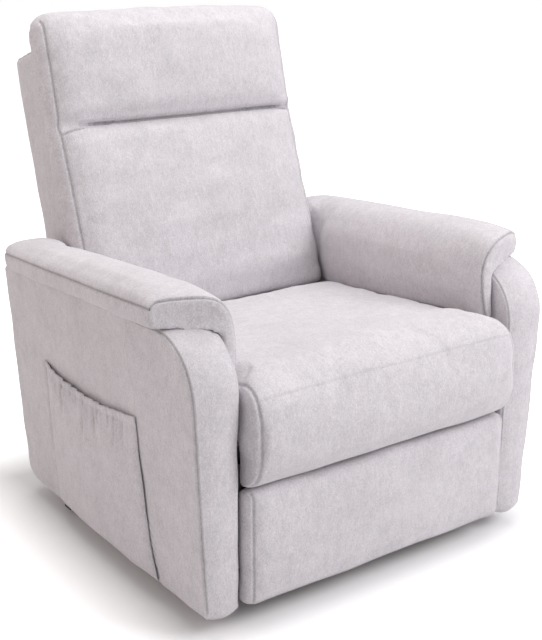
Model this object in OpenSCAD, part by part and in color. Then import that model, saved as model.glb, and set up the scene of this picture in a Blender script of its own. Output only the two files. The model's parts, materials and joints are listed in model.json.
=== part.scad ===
// Power lift recliner: upholstered chair on a steel lift base, lengths in millimetres.
// X runs across the chair, Y from front to back, Z up from the floor.
// Pieces are laid out from the arm fronts (y = 0) and then centred front to back.

/* [Chair] */
// Clear width between the two arms
seat_gap_w = 644; // [600:2:720]
// Height of the arm and panel bottoms above the floor
arm_clear = 45; // [42:1:52]
// Height of the seat's front edge above the floor
seat_h = 470; // [455:1:480]
// Drop of the seat's top from front to back
seat_fall = 52; // [40:1:60]
// Depth of the seat from the arm fronts to its back end
seat_d = 544; // [535:1:550]
// How far the seat's nose stands in front of the arms
seat_nose = 44; // [30:1:60]
// Lean of the back from upright, in degrees
back_lean = 15.5; // [13:0.5:17]
// Length of the back cushion along its lean, from the hinge
back_len = 712; // [640:2:740]
// Height of the head tuck along the lean, from the hinge
tuck_s = 459; // [430:1:500]

/* [Arms] */
// Thickness of an arm at its foot
arm_foot_w = 73; // [60:1:90]
// How much wider the arm is at the top than at its foot
arm_flare = 27; // [20:1:36]
// How far an arm runs on behind the seat
arm_tail = 209; // [196:1:226]
// Height of the arm's top line at the front
arm_top_z = 573; // [560:1:590]
// Drop of the arm's top line from front to back
arm_drop = 40; // [25:1:50]
// Radius of the arm's front top corner
arm_front_r = 108; // [80:1:130]
// Overhang of the pad past the arm's top outer edge
pad_overhang = 19; // [14:1:24]
// Height of the pad's crown above the arm's top line
pad_crown = 65; // [50:1:75]
// Thickness of the pad's stitched outer edge
pad_edge = 37; // [30:1:42]

/* [Pocket] */
// Distance of the pocket's front seam from the arm front
pocket_y = 186; // [160:1:220]
// Width of the pocket
pocket_w = 384; // [340:2:400]
// Height of the pocket's mouth above the arm's foot
pocket_h = 316; // [290:1:330]
// Fullness of the pocket
pocket_full = 18; // [17.5:0.5:24]

/* [Footrest] */
// Gap between the footrest panel and each arm
foot_side_gap = 12; // [8:1:20]
// Thickness of the footrest's padding
foot_pad_t = 38; // [34:1:42]
// Thickness of the footrest's board
foot_board_t = 12; // [10:1:14]

/* [Lift base] */
// Distance of each floor rail's outer face in from the arm
rail_gap = 57; // [50:1:66]
// How far the rear floor tube reaches under each arm
rear_reach = 53; // [30:1:56]
// Side of the square floor tubes
tube = 25; // [22:1:26]
// Wall of the floor tubes
tube_wall = 2; // [1.5:0.5:3]
// Height of the floor glides
glide_h = 12; // [10:1:14]

/* [Linkage] */
// Thickness of the flat steel bars
bar_t = 4; // [3.5:0.1:4.2]
// Half width of the lift links
lift_r = 14; // [13:0.5:15]
// Half width of the footrest links
link_r = 11; // [10.5:0.5:12]
// Radius of the footrest pivot pins
pin_r = 5; // [4.5:0.1:5]
// Radius of the lift pivot pins
lift_pin_r = 7; // [6:0.5:7.5]

/* [Actuators] */
// Diameter of an actuator's tube
act_d = 38; // [34:1:40]
// Diameter of an actuator's motor
motor_d = 54; // [46:1:58]
// Diameter of an actuator's rod
rod_d = 20; // [18:1:22]
// Distance of each actuator from the chair's middle
act_x = 70; // [64:1:90]

/* [Hidden] */
$fn = 64;

fabric = [0.79, 0.775, 0.775];
steel = [0.13, 0.13, 0.14];
zinc = [0.62, 0.63, 0.65];
timber = [0.72, 0.56, 0.37];
plastic = [0.10, 0.10, 0.11];
grey_plastic = [0.35, 0.36, 0.38];

// Small working clearances
overrun = 1;
seat_clear = 0.3;
run_clear = 0.06;
open_clear = 1.5;
slot_clear = 4;
panel_gap = 5;

// Overall places worked out from the driving sizes
half_gap = seat_gap_w / 2;
arm_l = seat_d + arm_tail;
seat_deep = 128;
plate_top = seat_h - seat_deep;
arm_out_foot = half_gap + arm_foot_w;
arm_out_top = arm_out_foot + arm_flare;
arm_h = arm_top_z - arm_clear;
arm_slope = arm_drop / arm_l;
arm_tilt = atan(arm_flare / arm_h);
pad_out = arm_out_top + pad_overhang;
hinge_behind = 154;
hinge_drop = 4;
hinge_y = seat_d + hinge_behind;
hinge_z = plate_top - hinge_drop;
shell_rear_t = 62;
shell_top_s = 640;
shell_foot_s = -40;
seat_crown = 14;
nose_crown_share = 0.4;
back_front = -seat_nose - seat_crown * nose_crown_share;
back_rear = hinge_y + shell_top_s * sin(back_lean) + shell_rear_t * cos(back_lean);
mid_y = (back_front + back_rear) / 2;

// Footrest panel's places
foot_w = seat_gap_w - 2 * foot_side_gap;
foot_drop = 68;
foot_panel_h = plate_top - foot_drop - arm_clear;
foot_low = 9;
foot_front = -14;
foot_back = foot_front + foot_pad_t + foot_board_t;

// Layers of flat bars, each the outer face of its bar
layer_gap = 2;
plate_x = half_gap;
rear_stay_x = plate_x - bar_t - layer_gap;
drive_x = rear_stay_x - bar_t - layer_gap;
mid_x = drive_x - bar_t - layer_gap;
stay_x = mid_x - bar_t - layer_gap;
riser_x = half_gap - rail_gap;
lift_x = riser_x + layer_gap + bar_t;
lift_plate_x = lift_x + 2 * layer_gap + bar_t;
lift_in_x = lift_x - bar_t - layer_gap / 2;
head_gap = 0.4;
head_t = 1.6;
head_lip = 3;
lift_head_lip = 4;
head_r = pin_r + head_lip;
lift_head_r = lift_pin_r + lift_head_lip;

// Places as [y, z] that pivots are counted from: the seat's back end, the plates' top, and both
behind = [seat_d, 0];
below = [0, plate_top];
rear_below = behind + below;

// Pivots of the lift, with their steps from those places
lift_a = [176, 82];
lift_d = [191, 150];
lift_crank = [189, 192];
lift_b_step = [-8, 92];
lift_c_step = [97, -102];
lift_m_step = [27, 82];
lift_b = behind + lift_b_step;
lift_c = rear_below + lift_c_step;
lift_m = behind + lift_m_step;

// Pivots of the footrest linkage, the recline drive and the back hinge
inner_low = [238, 102];
rear_stay_low = [178, 107];
front_stay_low = [232, 73];
inner_top_step = [151, -27];
outer_end_step = [61, -87];
rear_stay_top_step = [88, -24];
front_stay_end_step = [56, -115];
drive_front_step = [169, -54];
drive_rear_step = [165, -70];
recline_m_step = [310, -48];
recline_k_step = [195, -82];
hinge_q = [hinge_y, hinge_z];
inner_top = below + inner_top_step;
outer_end = below + outer_end_step;
rear_stay_top = below + rear_stay_top_step;
front_stay_end = below + front_stay_end_step;
drive_front = below + drive_front_step;
drive_rear = rear_below + drive_rear_step;
recline_m = below + recline_m_step;
recline_k = rear_below + recline_k_step;

// Cross tubes, each named by its low front corner in [y, z]
front_cross_step = [265, -107];
rear_cross_step = [96, 150];
front_cross = below + front_cross_step;
rear_cross = behind + rear_cross_step;

// Moves a piece from the arm-front layout into the centred frame
module place() {
    translate([0, -mid_y, 0]) children();
}

// Copies a right-hand piece to the left
module to_left() {
    mirror([1, 0, 0]) children();
}

// The same piece on both sides
module both_sides() {
    children();
    to_left() children();
}

// Stands a flat shape drawn in [y, z] on its edge, its outer face at x = outer
module plate_at(outer, t) {
    translate([outer - t, 0, 0]) rotate([90, 0, 90]) linear_extrude(t) children();
}

// Two equal ears about a middle, their clear gap between them
module ears(middle, gap, t) {
    for (s = [0, 1]) plate_at(middle + gap / 2 + t - s * (gap + t), t) children();
}

// Disc at a pivot in the flat drawing
module eye(p, r) {
    translate(p) circle(r);
}

// Straight web between two pivots, a little narrower than the eyes
web_share = 0.8;
module web(p, q, r) {
    d = q - p;
    translate(p) rotate(atan2(d[1], d[0]))
        translate([0, -r * web_share]) square([norm(d), 2 * r * web_share]);
}

// Pin or head along X between two places
module pin(p, r, x0, x1) {
    translate([x0, p[0], p[1]]) rotate([0, 90, 0]) cylinder(r = r, h = x1 - x0);
}

// Bore through a flat bar whose outer face is named
module bore(p, r, outer) {
    pin(p, r, outer - bar_t - overrun, outer + overrun);
}

// Pin carried by a bar on its outside, reaching in through the next bar, with its head
module in_pin(p, from_x, bar_in_x, r, hr) {
    pin(p, r, bar_in_x - head_gap, from_x);
    pin(p, hr, bar_in_x - head_t, bar_in_x - head_gap);
}

// Pin carried by a bar on its inside, reaching out through the next bar, with its head
module out_pin(p, from_x, bar_out_x, r, hr) {
    pin(p, r, from_x, bar_out_x + head_gap);
    pin(p, hr, bar_out_x + head_gap, bar_out_x + head_t);
}

// Rounded rectangle from its low corner
module round_box(size, r) {
    translate([r, 0]) square([size[0] - 2 * r, size[1]]);
    translate([0, r]) square([size[0], size[1] - 2 * r]);
    for (x = [r, size[0] - r], y = [r, size[1] - r]) translate([x, y]) circle(r);
}

// Square tube along X between two x places
module tube_x(corner, x0, x1) {
    y = corner[0];
    z = corner[1];
    inside = tube - 2 * tube_wall;
    difference() {
        translate([x0, y, z]) cube([x1 - x0, tube, tube]);
        translate([x0 - overrun, y + tube_wall, z + tube_wall])
            cube([x1 - x0 + 2 * overrun, inside, inside]);
    }
}

// Closed solid through rings of 2 * k points, each ring a ribbon of k pairs
module loft(rings, k) {
    n = 2 * k;
    last = len(rings) - 1;
    sides = [for (j = [0:last - 1], i = [0:n - 1])
        each [[j * n + i, j * n + (i + 1) % n, (j + 1) * n + (i + 1) % n],
              [j * n + i, (j + 1) * n + (i + 1) % n, (j + 1) * n + i]]];
    first_cap = [for (i = [0:k - 2])
        each [[i, n - 1 - i, n - 2 - i], [i, n - 2 - i, i + 1]]];
    last_cap = [for (i = [0:k - 2])
        each [[last * n + i, last * n + n - 2 - i, last * n + n - 1 - i],
              [last * n + i, last * n + i + 1, last * n + n - 2 - i]]];
    polyhedron([for (r = rings) each r], concat(sides, first_cap, last_cap));
}

// Power of a sine or cosine that keeps its sign
function bend(v, p) = sign(v) * pow(abs(v), p);
// Inset of a rounded edge of radius r at a distance d from the end
function edge_in(d, r) = d >= r ? 0 : r - sqrt(r * r - (r - d) * (r - d));
// Value between two ends
function mix(a, b, t) = a + (b - a) * t;
// Smooth step from 0 to 1
function ease(t) = let (c = min(1, max(0, t))) c * c * (3 - 2 * c);
// Places from 0 to 1 that lie closer together near both ends
function closer(t) = 0.5 - 0.5 * cos(180 * t);
// Sine of a share of a half turn, kept off zero at both ends
function arch(t) = sin(180 * min(0.999, max(0.001, t)));
// One row of ring places from -1 to 1, closer together near both ends
ring_power_share = 0.8;
function across(n) = [for (i = [0:n]) bend(sin(90 * (2 * i / n - 1)), ring_power_share)];

// Top line of the arm at a distance from its front
function arm_top(y) = arm_top_z - arm_slope * y;
// Outer face of the arm at a height
function arm_out(z) = arm_out_foot + arm_flare * (z - arm_clear) / arm_h;
// Top of the seat along its side, away from the nose
seat_lip = 4;
function seat_top(y) = seat_h + seat_lip - seat_fall * y / seat_d;

// Floor frame, its tubes named by their low front corners in [y, z]
rail_z = glide_h;
front_tube = [95, rail_z];
rear_tube_behind = 41;
rear_tube = [seat_d + rear_tube_behind, rail_z];
rear_tube_l = 2 * (half_gap + rear_reach);

module base_rail() {
    y0 = front_tube[0] + tube;
    l = rear_tube[0] - y0;
    inside = tube - 2 * tube_wall;
    color(steel) difference() {
        translate([riser_x - tube, y0, rail_z]) cube([tube, l, tube]);
        translate([riser_x - tube + tube_wall, y0 - overrun, rail_z + tube_wall])
            cube([inside, l + 2 * overrun, inside]);
    }
}
module base_rail_right() { place() base_rail(); }
module base_rail_left() { to_left() base_rail_right(); }

module base_front_tube() {
    color(steel) place() tube_x(front_tube, -riser_x, riser_x);
}

module base_rear_tube() {
    color(steel) place() tube_x(rear_tube, -rear_tube_l / 2, rear_tube_l / 2);
}

// Floor glides under the tubes and caps on the tubes' ends
glide_r = 16;
glide_chamfer = 2;
glide_in = 8;
glide_stem_share = 0.7;
cap_t = 3;
module glide() {
    cylinder(r1 = glide_r - glide_chamfer, r2 = glide_r, h = glide_h / 2);
    translate([0, 0, glide_h / 2]) cylinder(r = glide_r * glide_stem_share, h = glide_h / 2);
}
module floor_glides() {
    color(plastic) place() both_sides() for (t = [[riser_x, front_tube], [rear_tube_l / 2, rear_tube]]) {
        translate([t[0] - glide_r - glide_in, t[1][0] + tube / 2, 0]) glide();
        translate([t[0], t[1][0], t[1][1]]) cube([cap_t, tube, tube]);
    }
}

// Risers that carry the lift pivots
riser_r = 17;
riser_web_r = 18;
riser_tab = 16;
riser_foot_front = 41;
riser_foot_rear = 51;
stub_r = 8;
module lift_riser() {
    color(steel) {
        plate_at(riser_x, bar_t) difference() {
            union() {
                eye(lift_a, riser_r);
                eye(lift_d, riser_r);
                web(lift_a, lift_d, riser_web_r);
                polygon([[lift_a[0] - riser_foot_front, rail_z + tube],
                         [lift_a[0] + riser_foot_rear, rail_z + tube],
                         lift_a + [riser_tab, 0], lift_a - [riser_tab, 0]]);
            }
            eye(lift_a, stub_r + run_clear);
        }
        pin(lift_d, lift_pin_r, riser_x, lift_x + layer_gap / 2);
        pin(lift_d, lift_head_r, lift_x + head_gap, lift_x + head_t);
    }
}
module lift_riser_right() { place() lift_riser(); }
module lift_riser_left() { to_left() lift_riser_right(); }

// Ears on the rear floor tube that carry the lift actuator
ear_gap = 26;
ear_t = 4;
ear_r = 13;
ear_shares = [[0.92, 0.4], [-0.4, -0.92]];
module actuator_bracket() {
    color(steel) place() {
        ears(-act_x, ear_gap, ear_t) {
            eye(lift_m, ear_r);
            polygon([rear_tube + [0, tube], rear_tube + [tube, tube],
                     lift_m + ear_r * ear_shares[0], lift_m + ear_r * ear_shares[1]]);
        }
        pin(lift_m, pin_r, -act_x - ear_gap / 2 - ear_t, -act_x + ear_gap / 2 + ear_t);
    }
}

// Torque tube of the lift with its welded crank
torque_r = 15;
torque_wall = 4;
torque_plug_l = 20;
crank_gap = 20;
crank_lip = 5;
module lift_torque_tube() {
    end = riser_x - bar_t - layer_gap;
    color(steel) place() {
        difference() {
            pin(lift_a, torque_r, -end, end);
            pin(lift_a, torque_r - torque_wall, torque_plug_l - end, end - torque_plug_l);
        }
        both_sides() pin(lift_a, stub_r, end, lift_x - bar_t);
        ears(-act_x, crank_gap, ear_t) {
            eye(lift_a, torque_r + crank_lip);
            eye(lift_crank, lift_r);
            web(lift_a, lift_crank, lift_r);
        }
        pin(lift_crank, pin_r, -act_x - crank_gap / 2 - ear_t, -act_x + crank_gap / 2 + ear_t);
    }
}

lower_lip = 2;
module lower_link() {
    r = lift_r + lower_lip;
    color(steel) {
        plate_at(lift_x, bar_t) difference() {
            union() {
                eye(lift_a, r);
                eye(lift_b, r);
                web(lift_a, lift_b, r);
            }
            eye(lift_b, lift_pin_r + run_clear);
        }
        pin(lift_a, lift_head_r, lift_x, lift_x + head_t);
    }
}
module lower_link_right() { place() lower_link(); }
module lower_link_left() { to_left() lower_link_right(); }

slot_lip = 3;
module upper_link() {
    color(steel) plate_at(lift_x, bar_t) difference() {
        union() {
            eye(lift_d, lift_r);
            eye(lift_c, lift_r + slot_lip);
            web(lift_d, lift_c, lift_r);
        }
        eye(lift_d, lift_pin_r + run_clear);
        eye(lift_c, lift_pin_r + slot_clear);
    }
}
module upper_link_right() { place() upper_link(); }
module upper_link_left() { to_left() upper_link_right(); }

// Actuator laid along +Y from its rear pivot, with its motor hanging to one side
gear_l = 62;
gear_w = 24;
gear_eye_r = 12;
gear_overlap = 12;
gear_share = 0.33;
neck_l = 40;
neck_share = 0.8;
motor_l = 78;
motor_step = 8;
module actuator_body(tube_l) {
    bore_r = rod_d / 2 + seat_clear;
    motor_y = neck_l + gear_l * gear_share;
    color(plastic) {
        difference() {
            union() {
                translate([-gear_w / 2, 0, 0]) rotate([0, 90, 0]) cylinder(r = gear_eye_r, h = gear_w);
                translate([-gear_w / 2, 0, -gear_eye_r]) cube([gear_w, neck_l, 2 * gear_eye_r]);
                translate([-act_d / 2, neck_l - gear_overlap, -act_d / 2]) cube([act_d, gear_l, act_d]);
            }
            translate([-gear_w / 2 - overrun, 0, 0]) rotate([0, 90, 0])
                cylinder(r = pin_r + run_clear, h = gear_w + 2 * overrun);
            translate([0, neck_l, 0]) rotate([-90, 0, 0]) cylinder(r = bore_r, h = tube_l);
        }
        translate([0, motor_y, -act_d / 2 - motor_step])
            cylinder(d = motor_d * neck_share, h = motor_step + overrun);
        translate([0, motor_y, -act_d / 2 - motor_step - motor_l])
            cylinder(d = motor_d, h = motor_l + overrun);
    }
    color(grey_plastic) difference() {
        translate([0, neck_l + gear_l - gear_overlap, 0]) rotate([-90, 0, 0])
            cylinder(d = act_d, h = tube_l - gear_l);
        translate([0, neck_l, 0]) rotate([-90, 0, 0]) cylinder(r = bore_r, h = tube_l + overrun);
    }
}

rod_eye_t = 5;
rod_side_gap = 2;
module actuator_rod(start, reach) {
    bore_r = pin_r + slot_clear;
    w = crank_gap - 2 * rod_side_gap;
    color(zinc) {
        translate([0, start, 0]) rotate([-90, 0, 0])
            cylinder(r = rod_d / 2, h = reach - start - bore_r - rod_eye_t / 2);
        translate([-w / 2, reach, 0]) rotate([0, 90, 0]) difference() {
            cylinder(r = bore_r + rod_eye_t, h = w);
            translate([0, 0, -overrun]) cylinder(r = bore_r, h = w + 2 * overrun);
        }
    }
}

// Turns a piece drawn along +Y so that it runs from pivot p to pivot q
module aim(x, p, q) {
    d = q - p;
    translate([x, p[0], p[1]]) rotate([atan2(d[1], d[0]), 0, 0]) children();
}

lift_reach = norm(lift_crank - lift_m);
lift_tube_share = 0.7547;
lift_tube_l = lift_reach * lift_tube_share;
lift_start_share = 0.5;
module lift_actuator() {
    place() aim(-act_x, lift_m, lift_crank) actuator_body(lift_tube_l);
}
module lift_actuator_rod() {
    place() aim(-act_x, lift_m, lift_crank) actuator_rod(lift_tube_l * lift_start_share, lift_reach);
}

recline_reach = norm(recline_k - recline_m);
recline_tube_share = 0.6622;
recline_tube_l = recline_reach * recline_tube_share;
recline_start_share = 0.6;
module recline_actuator() {
    place() aim(act_x, recline_m, recline_k) actuator_body(recline_tube_l);
}
module recline_actuator_rod() {
    place() aim(act_x, recline_m, recline_k)
        actuator_rod(recline_tube_l * recline_start_share, recline_reach);
}

// Side plates of the carriage
plate_band = 57;
plate_nose = 14;
plate_tail = 24;
plate_edge = 5;
plate_slant_share = 0.4;
inner_boss_r = 20;
stay_boss_r = 18;
hinge_boss_r = 30;
hinge_pin_r = 8;
module side_plate() {
    low = plate_top - plate_band;
    color(steel) plate_at(plate_x, bar_t) {
        eye(inner_top, inner_boss_r);
        eye(rear_stay_top, stay_boss_r);
        eye(hinge_q, hinge_boss_r);
        polygon([[rear_stay_top[0] - plate_nose, plate_top], [hinge_y + plate_tail, plate_top],
                 [hinge_y + plate_tail, rear_cross[1] + tube],
                 rear_cross + [tube + plate_edge, 0], rear_cross - [plate_edge, 0],
                 [rear_cross[0] - plate_edge - (low - rear_cross[1]) * plate_slant_share, low],
                 [front_cross[0] + tube + 2 * plate_edge, low],
                 front_cross + [tube + plate_edge, 0], front_cross - [plate_edge, 0],
                 inner_top + [plate_edge, -stay_boss_r],
                 rear_stay_top - [plate_edge, stay_boss_r - plate_edge / 2]]);
    }
}
module side_plate_right() { place() side_plate(); }
module side_plate_left() { to_left() side_plate_right(); }

// Pins riveted to the side plates: the link pins with their heads, and the back's hinge pins
module carriage_pins() {
    color(steel) place() both_sides() {
        in_pin(inner_top, plate_x - bar_t, mid_x - bar_t, pin_r, head_r);
        in_pin(rear_stay_top, plate_x - bar_t, rear_stay_x - bar_t, pin_r, head_r);
        pin(hinge_q, hinge_pin_r, mid_x - bar_t, plate_x - bar_t);
    }
}

// Front cross tube with the ears of the recline actuator
front_ear_shares = [[0.7, -0.75], [-0.6, 0.75]];
module front_cross_tube() {
    color(steel) place() {
        tube_x(front_cross, -plate_x + bar_t, plate_x - bar_t);
        ears(act_x, ear_gap, ear_t) {
            eye(recline_m, ear_r);
            polygon([front_cross + [0, tube], front_cross + [tube, tube],
                     recline_m + ear_r * front_ear_shares[0], recline_m + ear_r * front_ear_shares[1]]);
        }
        pin(recline_m, pin_r, act_x - ear_gap / 2 - ear_t, act_x + ear_gap / 2 + ear_t);
    }
}
module rear_cross_tube() {
    color(steel) place() tube_x(rear_cross, -plate_x + bar_t, plate_x - bar_t);
}

// Lift plates that hang between the cross tubes and carry the lift links
lift_b_lip = 4;
lift_c_lip = 2;
lift_plate_waist = 40;
module lift_plate() {
    e = plate_edge;
    r = lift_r + lift_b_lip;
    color(steel) {
        difference() {
            plate_at(lift_plate_x, bar_t) {
                eye(lift_b, r);
                eye(lift_c, lift_r + lift_c_lip);
                polygon([front_cross - [e, e], front_cross + [-e, tube],
                         [lift_c[0], front_cross[1] + tube - e],
                         rear_cross + [tube + e, tube], rear_cross + [tube + e, -e],
                         lift_b + [r - e, -2 * e], lift_b + [e - r, -2 * e],
                         [lift_b[0] - lift_plate_waist, front_cross[1] - e]]);
            }
            for (c = [front_cross, rear_cross])
                translate([0, c[0], c[1]]) cube([lift_plate_x + overrun, tube, tube]);
        }
        for (p = [lift_b, lift_c]) pin(p, lift_pin_r, lift_in_x, lift_plate_x - bar_t);
        pin(lift_b, lift_head_r, lift_in_x - head_t, lift_in_x);
        pin(lift_c, lift_head_r + slot_lip, lift_in_x - head_t, lift_in_x);
    }
}
module lift_plate_right() { place() lift_plate(); }
module lift_plate_left() { to_left() lift_plate_right(); }

// Timber seat frame that rests on the side plates
seat_frame_t = 22;
seat_rail_w = 42;
seat_frame_y0 = 50;
seat_frame_in = 34;
seat_frame_l = seat_d - seat_frame_in;
module seat_frame() {
    color(timber) place() translate([0, seat_frame_y0, plate_top]) difference() {
        translate([-plate_x, 0, 0]) cube([2 * plate_x, seat_frame_l, seat_frame_t]);
        translate([-plate_x + seat_rail_w, seat_rail_w, -overrun])
            cube([2 * (plate_x - seat_rail_w), seat_frame_l - 2 * seat_rail_w,
                  seat_frame_t + 2 * overrun]);
    }
}

// Wavy spring drawn flat along +X, from 0 to its length
wire = 4;
spring_in = seat_clear + wire / 2;
wave_steps = 8;
function wave_at(x, l, n, a) = [x, a * sin(360 * n * x / l)];
module wave(l, n, a) {
    m = n * wave_steps;
    mid = [for (i = [0:m]) wave_at(l * i / m, l, n, a)];
    dir = [for (i = [0:m]) let (d = mid[min(m, i + 1)] - mid[max(0, i - 1)]) d / norm(d)];
    up = [for (i = [0:m]) mid[i] + wire / 2 * [-dir[i][1], dir[i][0]]];
    low = [for (i = [m:-1:0]) mid[i] - wire / 2 * [-dir[i][1], dir[i][0]]];
    linear_extrude(wire) polygon(concat(up, low));
}
seat_spring_n = 5;
seat_spring_z = 12;
seat_wave_n = 9;
spring_a = 22;
module seat_springs() {
    inside = 2 * (plate_x - seat_rail_w);
    l = seat_frame_l - 2 * seat_rail_w - 2 * spring_in;
    color(zinc) place() for (i = [1:seat_spring_n])
        translate([-inside / 2 + inside * (i - 0.5) / seat_spring_n,
                   seat_frame_y0 + seat_rail_w + spring_in, plate_top + seat_spring_z])
            rotate([0, 0, 90]) wave(l, seat_wave_n, spring_a);
}

// Seat cushion: rings across the chair, each the cushion's side outline
seat_side_gap = 16;
seat_half = half_gap - seat_side_gap;
seat_round = 26;
seat_bottom = plate_top + seat_frame_t + seat_clear;
apron_bottom = arm_clear + foot_panel_h + panel_gap;
apron_back = 20;
under_step = 4;
under_gap = 6;
nose_w = 70;
nose_angles = [-78, 84];
nose_power_share = 0.6;
nose_top_share = 0.6;
nose_mid_share = 0.52;
round_share = 0.8;
seat_run_power = 1.15;
crown_loss_share = 0.7;
foot_inset_share = 0.33;
under_inset_share = 0.25;
seat_k = 18;
seat_nose_n = 9;
seat_apron_n = 4;
function seat_run(i) = pow((i - seat_nose_n + 1) / (seat_k - seat_nose_n), seat_run_power);
function seat_y(i) = mix(nose_w - seat_nose, seat_d, seat_run(i));
function seat_ring(u) =
    let (e = edge_in((1 - abs(u)) * seat_half, seat_round),
         x = u * seat_half,
         crown = seat_crown * (1 - u * u),
         z0 = apron_bottom + e * foot_inset_share,
         z1 = seat_top(nose_w / 2) - e + crown * nose_top_share,
         zm = mix(z0, z1, nose_mid_share),
         zu = seat_bottom + e * under_inset_share)
    concat(
        [for (i = [0:seat_k - 1])
            i < seat_nose_n ? let (a = mix(nose_angles[0], nose_angles[1], i / (seat_nose_n - 1)))
                [x, nose_w - seat_nose + e - nose_w * pow(cos(a), nose_power_share)
                    - crown * nose_crown_share * cos(a),
                 i == 0 ? z0 : zm + (z1 - z0) / 2 * bend(sin(a), round_share)]
            : [x, min(seat_y(i), seat_d - e / 2),
               seat_top(seat_y(i)) - e + crown * (1 - crown_loss_share * seat_run(i))
                   - edge_in(seat_d - seat_y(i), seat_round)]],
        [for (j = [0:seat_k - 1])
            let (i = seat_k - 1 - j, y = apron_back + under_step * (i - seat_apron_n + 1))
            i < seat_apron_n ? [x, apron_back, mix(z0, seat_bottom - under_gap, i / seat_apron_n)]
            : i < seat_nose_n ? [x, y, zu]
            : [x, max(y, min(seat_y(i), seat_d - e / 2)), zu]]);
module seat_cushion() {
    color(fabric) place() loft([for (u = across(12)) seat_ring(u)], seat_k);
}

// Side outline of an arm, drawn in [y, z] and drawn in by an inset
arm_heel_r = 40;
arm_toe_r = 12;
arc_bite = 0.1;
function arc_z(m) = arm_top_z - m * arm_front_r - arm_front_r * sqrt(1 + m * m);
module arm_outline(inset) {
    m = arm_slope;
    r = arm_front_r - inset;
    centre = [arm_front_r - arc_bite, arc_z(m) + arc_bite];
    n = [m, 1] / norm([m, 1]);
    back = arm_l - inset;
    foot = arm_clear + inset;
    drop = inset * norm([m, 1]);
    difference() {
        polygon([[inset, foot], [inset, arm_top(inset) - drop],
                 [back, arm_top(back) - drop], [back, foot]]);
        difference() {
            polygon([[inset - overrun, centre[1]], centre, centre + 2 * r * n,
                     [inset - overrun, centre[1] + 2 * r]]);
            translate(centre) circle(r);
        }
        for (c = [[inset, arm_toe_r, 1], [back, arm_heel_r, -1]])
            translate([c[0], foot]) difference() {
                translate([c[2] > 0 ? -overrun : -c[1], -overrun])
                    square([c[1] + overrun, c[1] + overrun]);
                translate([c[2] * (c[1] - arc_bite), c[1] - arc_bite]) circle(c[1]);
            }
    }
}
// Prism between the arm's inner face and its flared outer face, drawn in by an inset
module arm_flare_prism(inset) {
    z0 = arm_clear - arm_l;
    z1 = arm_top_z + arm_l;
    translate([0, arm_l + overrun, 0]) rotate([90, 0, 0]) linear_extrude(arm_l + 2 * overrun)
        polygon([[half_gap + inset, z0], [arm_out(z0) - inset, z0],
                 [arm_out(z1) - inset, z1], [half_gap + inset, z1]]);
}
// Hollow of the arm, or its whole outer form with no inset
module arm_form(inset) {
    intersection() {
        plate_at(arm_out_top + arm_foot_w, arm_out_top + arm_foot_w - half_gap) arm_outline(inset);
        arm_flare_prism(inset);
    }
}
arm_wall = 12;
module arm_cover() {
    color(fabric) difference() {
        arm_form(0);
        arm_form(arm_wall);
        translate([0, 0, -2 * arm_wall]) arm_form(arm_wall);
    }
}
module arm_cover_right() { place() arm_cover(); }
module arm_cover_left() { to_left() arm_cover_right(); }

// Timber arm frame: a board with two windows inside the cover
arm_board_t = 18;
arm_rail_w = 60;
module arm_frame() {
    window_l = (arm_l - 2 * arm_wall - 3 * arm_rail_w) / 2;
    window_h = arm_h - arm_drop - 2 * arm_wall - 3 * arm_rail_w;
    color(timber) plate_at(half_gap + arm_wall + arm_board_t, arm_board_t) difference() {
        arm_outline(arm_wall);
        for (i = [0, 1])
            translate([arm_wall + arm_rail_w + i * (window_l + arm_rail_w),
                       arm_clear + arm_wall + arm_rail_w])
                square([window_l, window_h]);
    }
}
module arm_frame_right() { place() arm_frame(); }
module arm_frame_left() { to_left() arm_frame_right(); }

// Arm pad: rings from front to back, each a ribbon over the arm and down its inside
pad_y0 = 51;
pad_end_gap = 13;
pad_drape_t = 22;
pad_inner = half_gap - pad_drape_t;
pad_rear_lap = 9;
pad_round = 26;
pad_corner = 56;
pad_thin = 9;
pad_roll = 2;
pad_foot_in = 4;
pad_top_in = 2;
pad_base_in = 12;
pad_drape_top = 3;
pad_hem = 3;
pad_tail_h = 14;
pad_wall_gap = 2;
pad_side_shares = [0.3, 0.75];
pad_crown_share = 0.75;
drape_past = 56;
drape_end = seat_d + drape_past;
pad_lift = 1.3;
seat_pad_gap = 4;
pad_k = 16;
pad_over_n = 11;
pad_l = arm_l - pad_end_gap - pad_y0;
function pad_base(y) =
    let (m = arm_slope, cy = arm_front_r, cz = arc_z(m), yt = cy + cy * m / norm([m, 1]))
    seat_clear + (y > yt ? arm_top(y) : pad_lift + cz + sqrt(cy * cy - (cy - y) * (cy - y)));
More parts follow.
